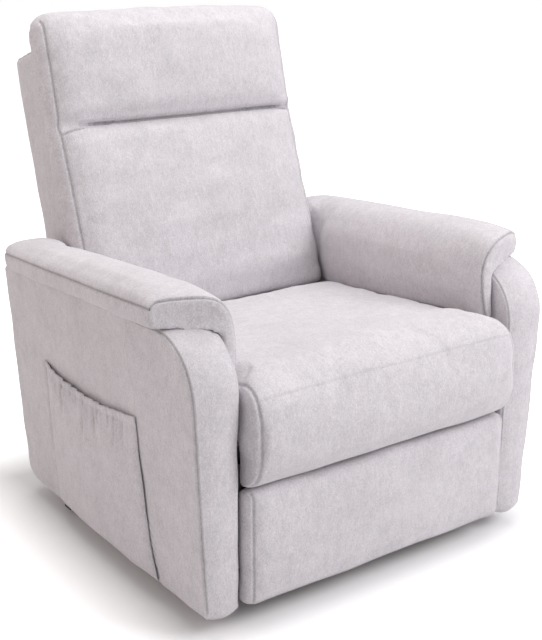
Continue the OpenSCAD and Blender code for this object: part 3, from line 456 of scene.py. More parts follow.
    def carve(self, obj: bpy.types.Object, cuts: list) -> None:
        """Sinks rounded grooves along lines into an object's surface, and marks painted shade along the
        narrow ones in a point attribute.

        Args:
            obj: The object to change.
            cuts: For each groove, the points of its line on the surface, its depth, which is
                negative for a ridge, and its half width.
        """
        sink = np.zeros(len(obj.data.vertices))
        dark = np.zeros(len(sink))
        for line, depth, width in cuts:
            near = self.nearness(obj, [line], width)[0]
            share = (1.0 - (near / width) ** 2) ** 2
            sink += depth * share
            # painted shade: narrow grooves get a darkening share, which the cloth's colour takes up
            if 0 < depth and width < 8:
                dark = np.maximum(dark, min(1.0, depth / 3.0) * share ** 1.5)
        self.move(obj, self.points(obj) - self.normals(obj) * sink[:, None])
        marks = obj.data.attributes
        mask = marks.get("painted_crease_shade") or marks.new("painted_crease_shade", "FLOAT", "POINT")
        kept = np.zeros(len(dark))
        mask.data.foreach_get("value", kept)
        mask.data.foreach_set("value", np.maximum(kept, dark))

    def ripple(self, obj: bpy.types.Object, size: float, short: float, long: float,
               seed: int) -> None:
        """Gives a surface the faint unevenness of cloth over foam.

        Args:
            obj: The object to change.
            size: Height of the unevenness in millimetres.
            short: Shortest wave in millimetres.
            long: Longest wave in millimetres.
            seed: Seed of the waves.
        """
        draw = np.random.default_rng(seed)
        points, count = self.points(obj), 14
        total = np.zeros(len(points))
        for _ in range(count):
            way = draw.normal(size=3)
            wave = 2 * math.pi / draw.uniform(short, long) * way / np.linalg.norm(way)
            total += np.sin(points @ wave + draw.uniform(0, 2 * math.pi))
        lift = size * total / math.sqrt(count / 2)
        self.move(obj, points + self.normals(obj) * lift[:, None])


@dataclass(frozen=True)
class StitchRow:
    """A row of visible stitches along a seam."""

    pitch: float = 5.2
    length: float = 3.6
    width: float = 1.0
    height: float = 0.55

    def along(self, spots: np.ndarray, ups: np.ndarray, aside: float) -> tuple[np.ndarray, list]:
        """Points and faces of the stitches.

        Args:
            spots: Points of the seam on the surface, close together.
            ups: Normals of the surface at those points.
            aside: Distance of the row from the seam, to one side of it.

        Returns:
            The stitches' points in the chair's layout, and their faces.
        """
        run = np.concatenate([[0.0], np.cumsum(np.linalg.norm(np.diff(spots, axis=0), axis=1))])
        points, faces = [], []
        for s in np.arange(self.pitch, run[-1] - self.pitch, self.pitch):
            i = min(max(int(np.searchsorted(run, s)) - 1, 1), len(spots) - 3)
            way = spots[i + 2] - spots[i - 1]
            way = way / max(np.linalg.norm(way), 1e-9)
            up = ups[i] / max(np.linalg.norm(ups[i]), 1e-9)
            out = np.cross(way, up)
            step = (spots[i + 1] - spots[i]) / max(run[i + 1] - run[i], 1e-9)
            middle = spots[i] + step * (s - run[i]) + out * aside + up * 0.1
            half, side, top = way * self.length / 2, out * self.width / 2, up * self.height
            k = len(points)
            points += [middle - half, middle + half, middle - side, middle + side,
                       middle + top, middle - top]
            faces += [(k + a, k + b, k + c) for a, b, c in
                      ((0, 2, 4), (2, 1, 4), (1, 3, 4), (3, 0, 4),
                       (2, 0, 5), (1, 2, 5), (3, 1, 5), (0, 3, 5))]
        return np.array(points).reshape(-1, 3), faces


@dataclass(frozen=True)
class Seam:
    """A sewn line: its points, its groove and the stitch rows beside it."""

    line: np.ndarray
    depth: float = 2.2
    width: float = 5.0
    rows: tuple = (4.5,)


# Shader node helpers


class Nodes:
    """Adds nodes to one node tree and joins them."""

    def __init__(self, tree: bpy.types.NodeTree) -> None:
        """Keeps the tree."""
        self.tree = tree

    def add(self, kind: str, ins: dict | None = None, **settings: object) -> bpy.types.Node:
        """A node with its settings and inputs.

        Args:
            kind: Type of the node.
            ins: Value or output socket for each input, by name or number.
            settings: Attributes of the node.

        Returns:
            The node.
        """
        node = self.tree.nodes.new(kind)
        for key, value in settings.items():
            setattr(node, key, value)
        for key, value in (ins or {}).items():
            if isinstance(value, bpy.types.NodeSocket):
                self.tree.links.new(value, node.inputs[key])
            else:
                node.inputs[key].default_value = value
        return node

    def math(self, operation: str, a: object, b: object = 0.0) -> bpy.types.NodeSocket:
        """Output of a math node."""
        return self.add("ShaderNodeMath", {0: a, 1: b}, operation=operation).outputs[0]

    def noise(self, vector: object, scale: float, detail: float = 2.0,
              rough: float = 0.5) -> bpy.types.NodeSocket:
        """Output of a noise texture."""
        return self.add("ShaderNodeTexNoise", {"Vector": vector, "Scale": scale, "Detail": detail,
                                               "Roughness": rough}).outputs[0]

    def spread(self, value: object, low: float, high: float, to_low: float,
               to_high: float) -> bpy.types.NodeSocket:
        """Output of a clamped map range."""
        return self.add("ShaderNodeMapRange", {0: value, 1: low, 2: high, 3: to_low, 4: to_high},
                        clamp=True).outputs[0]

    def tint(self, colour: object, other: object, share: object,
             blend: str = "MIX") -> bpy.types.NodeSocket:
        """Colour between two, by a share."""
        return self.add("ShaderNodeMix", {0: share, 6: colour, 7: other}, data_type="RGBA",
                        blend_type=blend).outputs[2]

    def vector(self, operation: str, a: object, b: object = (0, 0, 0)) -> bpy.types.NodeSocket:
        """Vector output of a vector math node."""
        return self.add("ShaderNodeVectorMath", {0: a, 1: b}, operation=operation).outputs[0]

    def where(self) -> bpy.types.NodeSocket:
        """Object coordinates."""
        return self.add("ShaderNodeTexCoord").outputs["Object"]

    def bump(self, height: object, strength: float, distance: float) -> bpy.types.NodeSocket:
        """Normal of a bump node."""
        return self.add("ShaderNodeBump", {"Strength": strength, "Distance": distance,
                                           "Height": height}).outputs[0]

    def effect(self, group: bpy.types.NodeTree, **ins: object) -> bpy.types.Node:
        """A placed node group with its own values."""
        return self.add("ShaderNodeGroup", ins, node_tree=group)

    def eye(self) -> bpy.types.NodeSocket:
        """Tells the rays that show the surroundings from those that light.

        Returns:
            A socket with one for a camera, glossy or transmission ray, else zero.
        """
        seen = self.add("ShaderNodeLightPath").outputs
        return self.math("MAXIMUM", seen["Is Camera Ray"],
                         self.math("MAXIMUM", seen["Is Glossy Ray"], seen["Is Transmission Ray"]))

    def feed(self, node: bpy.types.Node, **sources: object) -> None:
        """Joins sockets to a node's inputs, whose names have _ for a space here."""
        for label, socket in sources.items():
            self.tree.links.new(socket, node.inputs[label.replace("_", " ")])


def new_group(name: str, ins: list,
              outs: list) -> tuple[bpy.types.NodeTree, Nodes, object, object]:
    """An empty shader node group with named sockets.

    Args:
        name: Name of the group.
        ins: Name, socket type and default of each input.
        outs: Name and socket type of each output.

    Returns:
        The group, its node helper, its input node and its output node.
    """
    group = bpy.data.node_groups.new(name, "ShaderNodeTree")
    for label, kind, default in ins:
        socket = group.interface.new_socket(name=label, in_out="INPUT", socket_type=kind)
        socket.default_value = default
    for label, kind in outs:
        group.interface.new_socket(name=label, in_out="OUTPUT", socket_type=kind)
    nodes = Nodes(group)
    return group, nodes, nodes.add("NodeGroupInput"), nodes.add("NodeGroupOutput")


FLOAT, COLOUR, VECTOR = "NodeSocketFloat", "NodeSocketColor", "NodeSocketVector"


class Effects:
    """Node groups that the finishes share."""

    def __init__(self) -> None:
        """Builds each group once."""
        self.weave = self.chenille_weave()
        self.wear = self.edge_wear()
        self.grain = self.fine_grain()

    @staticmethod
    def chenille_weave() -> bpy.types.NodeTree:
        """Slubbed vertical cords, cross threads and broad mottling of a chenille cloth, with painted
        shade where the mesh marks its creases.

        Returns:
            The node group.
        """
        group, n, ins, outs = new_group(
            "Chenille weave",
            [("Colour", COLOUR, (0.6, 0.58, 0.6, 1)), ("Along", VECTOR, (1, 1, 0.2)),
             ("Lean", FLOAT, 0.0), ("Contrast", FLOAT, 1.0)],
            [("Colour", COLOUR), ("Roughness", FLOAT), ("Height", FLOAT)])
        where = n.where()
        turned = n.add("ShaderNodeVectorRotate", {"Vector": where, "Angle": ins.outputs["Lean"]},
                       rotation_type="X_AXIS").outputs[0]
        cord = n.vector("MULTIPLY", turned, ins.outputs["Along"])
        threads = n.noise(cord, 640.0, 2.0, 0.6)
        slubs = n.noise(cord, 190.0, 3.0, 0.6)
        streaks = n.noise(cord, 55.0, 3.0, 0.55)
        cross = n.noise(turned, 560.0, 1.0, 0.5)
        blotch = n.noise(turned, 42.0, 5.0, 0.68)
        mottle = n.noise(turned, 12.0, 4.0, 0.62)
        total = n.math("MULTIPLY", n.math("SUBTRACT", threads, 0.5), 0.55)
        for part, weight in ((slubs, 0.30), (streaks, 0.10), (cross, 0.42), (blotch, 0.26),
                             (mottle, 0.22)):
            total = n.math("ADD", total, n.math("MULTIPLY", n.math("SUBTRACT", part, 0.5), weight))
        total = n.math("MULTIPLY", total, ins.outputs["Contrast"])
        # Painted shade: the cloth's colour darkens where the mesh marks seam grooves and pleat hollows.
        painted_crease_shade = n.add("ShaderNodeAttribute", attribute_name="painted_crease_shade").outputs["Fac"]
        total = n.math("SUBTRACT", total, n.math("MULTIPLY", painted_crease_shade, 0.36))
        shade = n.math("ADD", total, 1.0)
        grey = n.add("ShaderNodeCombineColor", {0: shade, 1: shade, 2: shade}).outputs[0]
        colour = n.tint(ins.outputs["Colour"], grey, 1.0, "MULTIPLY")
        height = n.math("ADD", n.math("MULTIPLY", threads, 0.55), n.math("MULTIPLY", slubs, 0.3))
        height = n.math("ADD", height, n.math("MULTIPLY", cross, 0.25))
        n.feed(outs, Colour=colour, Roughness=n.spread(slubs, 0.3, 0.7, 0.78, 0.95),
               Height=height)
        return group

    @staticmethod
    def edge_wear() -> bpy.types.NodeTree:
        """Mask of worn edges, broken up by noise.

        Returns:
            The node group.
        """
        group, n, ins, outs = new_group(
            "Edge wear", [("Amount", FLOAT, 0.5), ("Scale", FLOAT, 60.0)], [("Mask", FLOAT)])
        sharp = n.add("ShaderNodeNewGeometry").outputs["Pointiness"]
        where = n.where()
        speck = n.add("ShaderNodeTexNoise", {"Vector": where, "Scale": ins.outputs["Scale"],
                                             "Detail": 5.0, "Roughness": 0.65}).outputs[0]
        edge = n.spread(sharp, 0.52, 0.6, 0.0, 1.0)
        mask = n.math("MULTIPLY", edge, n.spread(speck, 0.4, 0.6, 0.0, 1.0))
        n.feed(outs, Mask=n.math("MULTIPLY", mask, ins.outputs["Amount"]))
        return group

    @staticmethod
    def fine_grain() -> bpy.types.NodeTree:
        """Fine even grain, as in powder coat and moulded plastic.

        Returns:
            The node group.
        """
        group, n, ins, outs = new_group(
            "Fine grain", [("Scale", FLOAT, 900.0), ("Low", FLOAT, 0.4), ("High", FLOAT, 0.6)],
            [("Roughness", FLOAT), ("Height", FLOAT), ("Smudge", FLOAT)])
        where = n.where()
        grain = n.add("ShaderNodeTexNoise", {"Vector": where, "Scale": ins.outputs["Scale"],
                                             "Detail": 2.0, "Roughness": 0.5}).outputs[0]
        smudge = n.noise(where, 14.0, 4.0, 0.6)
        rough = n.add("ShaderNodeMapRange", {0: smudge, 1: 0.3, 2: 0.7, 3: ins.outputs["Low"],
                                             4: ins.outputs["High"]}, clamp=True).outputs[0]
        n.feed(outs, Roughness=rough, Height=grain, Smudge=smudge)
        return group


def linear(tone: tuple) -> tuple:
    """A colour as seen on a screen, from 0 to 1, as the shader's linear colour."""
    return tuple(c / 12.92 if c <= 0.04045 else ((c + 0.055) / 1.055) ** 2.4
                 for c in tone) + (1.0,)


def blank(name: str, rough: float, metal: float = 0.0) -> tuple[bpy.types.Material, Nodes, object]:
    """A material with a plain Principled BSDF.

    Args:
        name: Name of the material.
        rough: Roughness, until a node feeds it.
        metal: Metallic share.

    Returns:
        The material, its node helper and its shader node.
    """
    made = bpy.data.materials.new(name)
    made.use_nodes = True
    made.node_tree.nodes.clear()
    nodes = Nodes(made.node_tree)
    shader = nodes.add("ShaderNodeBsdfPrincipled", {"Roughness": rough, "Metallic": metal})
    nodes.add("ShaderNodeOutputMaterial", {"Surface": shader.outputs[0]})
    return made, nodes, shader


@dataclass(frozen=True)
class Chenille:
    """Upholstery cloth: light warm-grey chenille with fine slubbed cords."""

    name: str
    tone: tuple = (0.812, 0.795, 0.81)
    along: tuple = (1.0, 1.0, 0.38)
    lean: float = 0.0
    contrast: float = 1.0
    weave_bump: float = 0.7
    weave_deep: float = 0.0011
    sheen: float = 0.22
    sheen_rough: float = 0.45
    specular: float = 0.25

    def make(self, effects: Effects) -> bpy.types.Material:
        """Builds the material.

        Args:
            effects: Node groups that the finishes share.

        Returns:
            The material.
        """
        made, n, shader = blank(self.name, 0.9)
        cloth = n.effect(effects.weave, Colour=linear(self.tone), Along=self.along,
                         Lean=math.radians(self.lean), Contrast=self.contrast).outputs
        n.feed(shader, Base_Color=cloth["Colour"], Roughness=cloth["Roughness"],
               Normal=n.bump(cloth["Height"], self.weave_bump, self.weave_deep))
        for label, value in (("Sheen Weight", self.sheen), ("Sheen Roughness", self.sheen_rough),
                             ("Specular IOR Level", self.specular)):
            shader.inputs[label].default_value = value
        return made


@dataclass(frozen=True)
class Thread:
    """Sewing thread of the visible stitches."""

    name: str = "sewing_thread"
    tone: tuple = (0.88, 0.86, 0.87)

    def make(self) -> bpy.types.Material:
        """Builds the material.

        Returns:
            The material.
        """
        made, n, shader = blank(self.name, 0.7)
        twist = n.noise(n.where(), 1500.0, 1.0)
        colour = n.tint(linear(self.tone), linear(tuple(0.8 * c for c in self.tone)), twist)
        n.feed(shader, Base_Color=colour, Normal=n.bump(twist, 0.4, 0.0003))
        return made


@dataclass(frozen=True)
class CoatedSteel:
    """Steel under a satin black powder coat, rubbed bright on its edges."""

    name: str = "black_powder_coat"
    tone: tuple = (0.17, 0.165, 0.17)
    dusty: tuple = (0.36, 0.35, 0.34)
    bare: tuple = (0.45, 0.45, 0.46)

    def make(self, effects: Effects) -> bpy.types.Material:
        """Builds the material.

        Args:
            effects: Node groups that the finishes share.

        Returns:
            The material.
        """
        made, n, shader = blank(self.name, 0.5)
        grain = n.effect(effects.grain, Scale=700.0, Low=0.38, High=0.56).outputs
        worn = n.effect(effects.wear, Amount=0.7, Scale=70.0).outputs["Mask"]
        dust = n.spread(grain["Smudge"], 0.45, 0.75, 0.0, 0.25)
        colour = n.tint(linear(self.tone), linear(self.dusty), dust)
        n.feed(shader, Base_Color=n.tint(colour, linear(self.bare), worn),
               Roughness=grain["Roughness"], Metallic=worn,
               Normal=n.bump(grain["Height"], 0.25, 0.0003))
        return made


@dataclass(frozen=True)
class ZincSteel:
    """Zinc-plated steel with a rolled, faintly clouded face."""

    name: str = "zinc_plate"
    tone: tuple = (0.74, 0.75, 0.77)
    clouded: tuple = (0.58, 0.60, 0.63)
    bright: tuple = (0.86, 0.86, 0.85)
    rolling: tuple = (40.0, 900.0, 40.0)

    def make(self, effects: Effects) -> bpy.types.Material:
        """Builds the material.

        Args:
            effects: Node groups that the finishes share.

        Returns:
            The material.
        """
        made, n, shader = blank(self.name, 0.35, 1.0)
        where = n.where()
        rolled = n.noise(n.vector("MULTIPLY", where, self.rolling), 1.0, 3.0, 0.6)
        cloud = n.noise(where, 35.0, 4.0, 0.6)
        worn = n.effect(effects.wear, Amount=0.5, Scale=90.0).outputs["Mask"]
        colour = n.tint(linear(self.tone), linear(self.clouded), cloud)
        n.feed(shader, Base_Color=n.tint(colour, linear(self.bright), worn),
               Roughness=n.spread(rolled, 0.3, 0.7, 0.28, 0.46),
               Normal=n.bump(rolled, 0.15, 0.0002))
        return made


@dataclass(frozen=True)
class Plywood:
    """Raw birch plywood of the inner frames."""

    name: str = "birch_plywood"
    tone: tuple = (0.82, 0.70, 0.52)
    dark: tuple = (0.66, 0.51, 0.34)
    rubbed: tuple = (0.55, 0.42, 0.28)
    grain: tuple = (12.0, 12.0, 220.0)

    def make(self, effects: Effects) -> bpy.types.Material:
        """Builds the material.

        Args:
            effects: Node groups that the finishes share.

        Returns:
            The material.
        """
        made, n, shader = blank(self.name, 0.7)
        where = n.where()
        bent = n.noise(where, 9.0, 2.0)
        grain = n.add("ShaderNodeTexNoise",
                      {"Vector": n.vector("MULTIPLY", where, self.grain), "Scale": 1.0,
                       "Detail": 4.0, "Distortion": 1.2}).outputs[0]
        plies = n.add("ShaderNodeTexWave", {"Vector": where, "Scale": 110.0, "Distortion": 0.6},
                      bands_direction="X").outputs["Fac"]
        share = n.math("ADD", grain, n.math("MULTIPLY", plies, 0.25))
        share = n.math("MULTIPLY", share, bent)
        worn = n.effect(effects.wear, Amount=0.5, Scale=40.0).outputs["Mask"]
        colour = n.tint(linear(self.tone), linear(self.dark), share)
        n.feed(shader, Base_Color=n.tint(colour, linear(self.rubbed), worn),
               Roughness=n.spread(grain, 0.3, 0.7, 0.6, 0.8), Normal=n.bump(grain, 0.3, 0.0004))
        return made


@dataclass(frozen=True)
class MouldedPlastic:
    """Matte moulded plastic with a fine spark-eroded grain."""

    name: str
    tone: tuple

    def make(self, effects: Effects) -> bpy.types.Material:
        """Builds the material.

        Args:
            effects: Node groups that the finishes share.

        Returns:
            The material.
        """
        made, n, shader = blank(self.name, 0.5)
        grain = n.effect(effects.grain, Scale=1400.0, Low=0.42, High=0.6).outputs
        worn = n.effect(effects.wear, Amount=0.3, Scale=120.0).outputs["Mask"]
        pale = tuple(min(1.0, c + 0.16) for c in self.tone)
        dull = tuple(0.85 * c for c in self.tone)
        colour = n.tint(linear(self.tone), linear(pale), worn)
        colour = n.tint(colour, linear(dull), n.spread(grain["Smudge"], 0.4, 0.7, 0.0, 0.4))
        n.feed(shader, Base_Color=colour, Roughness=grain["Roughness"],
               Normal=n.bump(grain["Height"], 0.3, 0.0002))
        return made


class Kit:
    """What every sub-assembly works with: sizes, mesh tools and finishes."""

    def __init__(self) -> None:
        """Builds the shared effects and the thread."""
        self.sizes = ChairSizes()
        self.mesher = Mesher(self.sizes)
        self.effects = Effects()
        self.thread = Thread().make()

    def cloth(self, finish: Chenille) -> bpy.types.Material:
        """Material of a cloth finish."""
        return finish.make(self.effects)

    def place(self, obj: bpy.types.Object, body: str) -> None:
        """Puts an upholstered piece on its body."""
        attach(obj, body)

    def stitch(self, name: str, rows: list, seat: BVHTree | None = None) -> object:
        """Makes the stitches of several rows as one object.

        Args:
            name: Name of the stitches' object.
            rows: For each row its points on the surface, the normals there and the distance aside.
            seat: Search tree of the surface that the stitches are pressed onto, if any.

        Returns:
            The object, or None where no row is long enough for a stitch.
        """
        parts, faces, count = [], [], 0
        for spots, ups, aside in rows:
            points, tris = StitchRow().along(spots, ups, aside)
            if seat is not None and len(points):
                groups = points.reshape(-1, 6, 3)
                middle = groups.mean(1)
                seats, tops = self.mesher.onto(seat, middle)
                points = (groups + (seats - middle + tops * 0.15)[:, None, :]).reshape(-1, 3)
            parts.append(points)
            faces += [tuple(i + count for i in tri) for tri in tris]
            count += len(points)
        if not count:
            return None
        made = self.mesher.make(name, np.concatenate(parts), faces)
        made.data.materials.append(self.thread)
        return made


@dataclass
class SoftPiece:
    """A padded piece: closed form, cloth simulation, seams and stitches."""

    kit: Kit
    name: str
    node: str
    body: str
    finish: Chenille
    fill: float = 0.7
    voxel: float = 7.5
    smooth: int = 3
    puff: float = 24.0
    pressure: float = 4.0
    uneven: float = 0.9
    waves: tuple = (60.0, 190.0)
    seam_reach: float = 8.0
    give: float = 1.0
    seed: int = 1

    def form(self) -> tuple[np.ndarray, list]:
        """Points and faces of the closed starting form, a little smaller than the piece."""
        raise NotImplementedError

    def freedom(self, points: np.ndarray) -> np.ndarray:
        """Share from 0 to 1 that each point may follow the simulation."""
        return np.full(len(points), self.give)

    def seams(self) -> list:
        """The piece's sewn lines."""
        return []

    def shape(self, obj: bpy.types.Object) -> None:
        """Last changes to the form before its seams are carved."""

    def sew(self, obj: bpy.types.Object) -> list:
        """Carves the seams and makes their stitches.

        Args:
            obj: The piece's object.

        Returns:
            The stitches' objects.
        """
        mesher = self.kit.mesher
        tree = mesher.tree(obj)
        seams = [(seam, *mesher.onto(tree, resample(seam.line, 2.0))) for seam in self.seams()]
        if not seams:
            return []
        mesher.refine(obj, [spots for _, spots, _ in seams], self.seam_reach)
        mesher.carve(obj, [(spots, seam.depth, seam.width) for seam, spots, _ in seams])
        rows = [(spots, ups, aside) for seam, spots, ups in seams for aside in seam.rows]
        made = self.kit.stitch(self.name + "_stitches", rows, mesher.tree(obj))
        return [made] if made else []

    def dress(self, obj: bpy.types.Object, stitches: list) -> None:
        """Gives the piece its finish and its body, and hides the CAD node that it stands for.

        Args:
            obj: The piece's object.
            stitches: The stitches' objects.
        """
        obj.data.materials.clear()
        obj.data.materials.append(self.kit.cloth(self.finish))
        for made in [obj] + stitches:
            self.kit.place(made, self.body)
        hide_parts(self.node)

    def finish_off(self, obj: bpy.types.Object) -> bpy.types.Object:
        """Sews, shades, dresses and reports a formed piece.

        Args:
            obj: The piece's object.

        Returns:
            The same object.
        """
        stitches = self.sew(obj)
        self.kit.mesher.shade(obj)
        self.dress(obj, stitches)
        LOG.info("%s: %d points, on %s", self.name, len(obj.data.vertices), self.body)
        return obj

    def build(self) -> bpy.types.Object:
        """Makes the piece.

        Returns:
            The piece's object.
        """
        mesher = self.kit.mesher
        obj = mesher.make(self.name, *self.form())
        mesher.remesh(obj, self.voxel, self.smooth)
        mesher.inflate(obj, self.pressure, self.puff, self.freedom(mesher.points(obj)))
        mesher.subdivide(obj)
        if self.uneven:
            mesher.ripple(obj, self.uneven, *self.waves, self.seed)
        self.shape(obj)
        return self.finish_off(obj)


@dataclass
class SeatCushion(SoftPiece):
    """Seat cushion that turns down in front into an apron."""

    give: float = 0.55
    side_gap: float = 6.0
    round_r: float = 22.0
    nose_w: float = 70.0
    nose_arc: tuple = (-78, 84)
    nose_top_y: float = 35.0
    crown: float = 14.0
    drop: float = 2.5
    rear_reach: float = 26.0
    rear_r: float = 14.0
    stay_in: float = 310.8
    stay_top: float = 340.0
    stay_ease: float = 34.0
    seam_at: float = 0.968
    topstitch_z: float = 461.0

    def ring(self, u: float, grow: float = 0.0) -> np.ndarray:
        """Side outline of the cushion at a share u of its half width.

        Args:
            u: Place across, from -1 to 1.
            grow: Change of the crown in millimetres.

        Returns:
            Points of the outline, from the apron's foot up over the nose to the back.
        """
        z = self.kit.sizes
        half = z.half_gap - self.side_gap
        e = float(edge_in((1 - abs(u)) * half, self.round_r))
        crown = (self.crown + grow) * (1 - u * u)
        z0 = z.apron_bottom - self.drop + e * 0.2
        z1 = z.seat_top(self.nose_top_y) - e + crown * 0.6
        zm = mix(z0, z1, 0.52)
        a = np.radians(np.linspace(*self.nose_arc, 40))
        nose_y = self.nose_w - z.seat_nose + 0.7 * e - self.nose_w * np.cos(a) ** 0.6 \
            - crown * 0.4 * np.cos(a)
        nose_z = zm + (z1 - z0) / 2 * bend(np.sin(a), 0.8)
        nose_z[0] = z0
        run = (np.arange(1, 46) / 45.0) ** 1.15
        far = z.seat_d + self.rear_reach
        y = mix(self.nose_w - z.seat_nose, far, run)
        top_z = z.seat_top(y) - e + crown * (1 - 0.7 * run) - edge_in(far - y, self.rear_r)
        y = np.minimum(y, far - e / 2)
        return spots_at(u * half, np.concatenate([nose_y, y]), np.concatenate([nose_z, top_z]))

    def form(self) -> tuple[np.ndarray, list]:
        """Points and faces of the closed starting form.

        Returns:
            The points in the chair's layout, and the faces.
        """
        z, rings = self.kit.sizes, []
        slim = 5.0
        for u in across():
            top = self.ring(u, -slim)
            e = float(edge_in((1 - abs(u)) * (z.half_gap - self.side_gap), self.round_r))
            low = z.seat_bottom + e * 0.25
            under_y = np.linspace(top[-1, 1], z.apron_back + 4, 20)
            foot_z = np.linspace(z.seat_bottom - 6, z.apron_bottom - self.drop + e * 0.2, 8)
            rings.append(np.concatenate([top, spots_at(top[0, 0], under_y, low),
                                         spots_at(top[0, 0], z.apron_back, foot_z)]))
        return Mesher.loft(np.array(rings))

    def freedom(self, points: np.ndarray) -> np.ndarray:
        """Holds the cushion's underside and apron back, and its sides by half.

        Args:
            points: Points in the chair's layout.

        Returns:
            The share from 0 to 1 that each point may follow the simulation.
        """
        z = self.kit.sizes
        up = ease((points[:, 2] - z.seat_bottom - 8) / 40)
        front = ease((8 - points[:, 1]) / 20) * ease((points[:, 2] - z.apron_bottom - 5) / 40)
        side = 1 - 0.75 * ease((np.abs(points[:, 0]) - z.half_gap + self.side_gap + 20) / 20)
        rear = 1 - ease((points[:, 1] - z.seat_d + 20) / 40)
        return np.maximum(up * rear, front) * side * self.give

    def shape(self, obj: bpy.types.Object) -> None:
        """Draws the apron's sides in where the footrest's stays swing past them.

        Args:
            obj: The piece's object.
        """
        mesher = self.kit.mesher
        points = mesher.points(obj)
        low = ease((self.stay_top + self.stay_ease - points[:, 2]) / self.stay_ease)
        room = mix(self.kit.sizes.half_gap, self.stay_in, low)
        points[:, 0] = np.clip(points[:, 0], -room, room)
        mesher.move(obj, points)

    def seams(self) -> list:
        """Side seams round the top panel, and the faint topstitch across the nose.

        Returns:
            The two side seams and the topstitch.
        """
        sides = [Seam(self.ring(u)[3:], depth=2.4, width=5.5, rows=(4.0 * s,))
                 for s, u in ((1, -self.seam_at), (-1, self.seam_at))]
        rings = np.array([self.ring(float(u)) for u in np.linspace(-0.95, 0.95, 60)])
        index = int(np.argmin(np.abs(rings[30, :40, 2] - self.topstitch_z)))
        cross = Seam(rings[:, index], depth=0.45, width=5.0, rows=(0.0,))
        return sides + [cross]


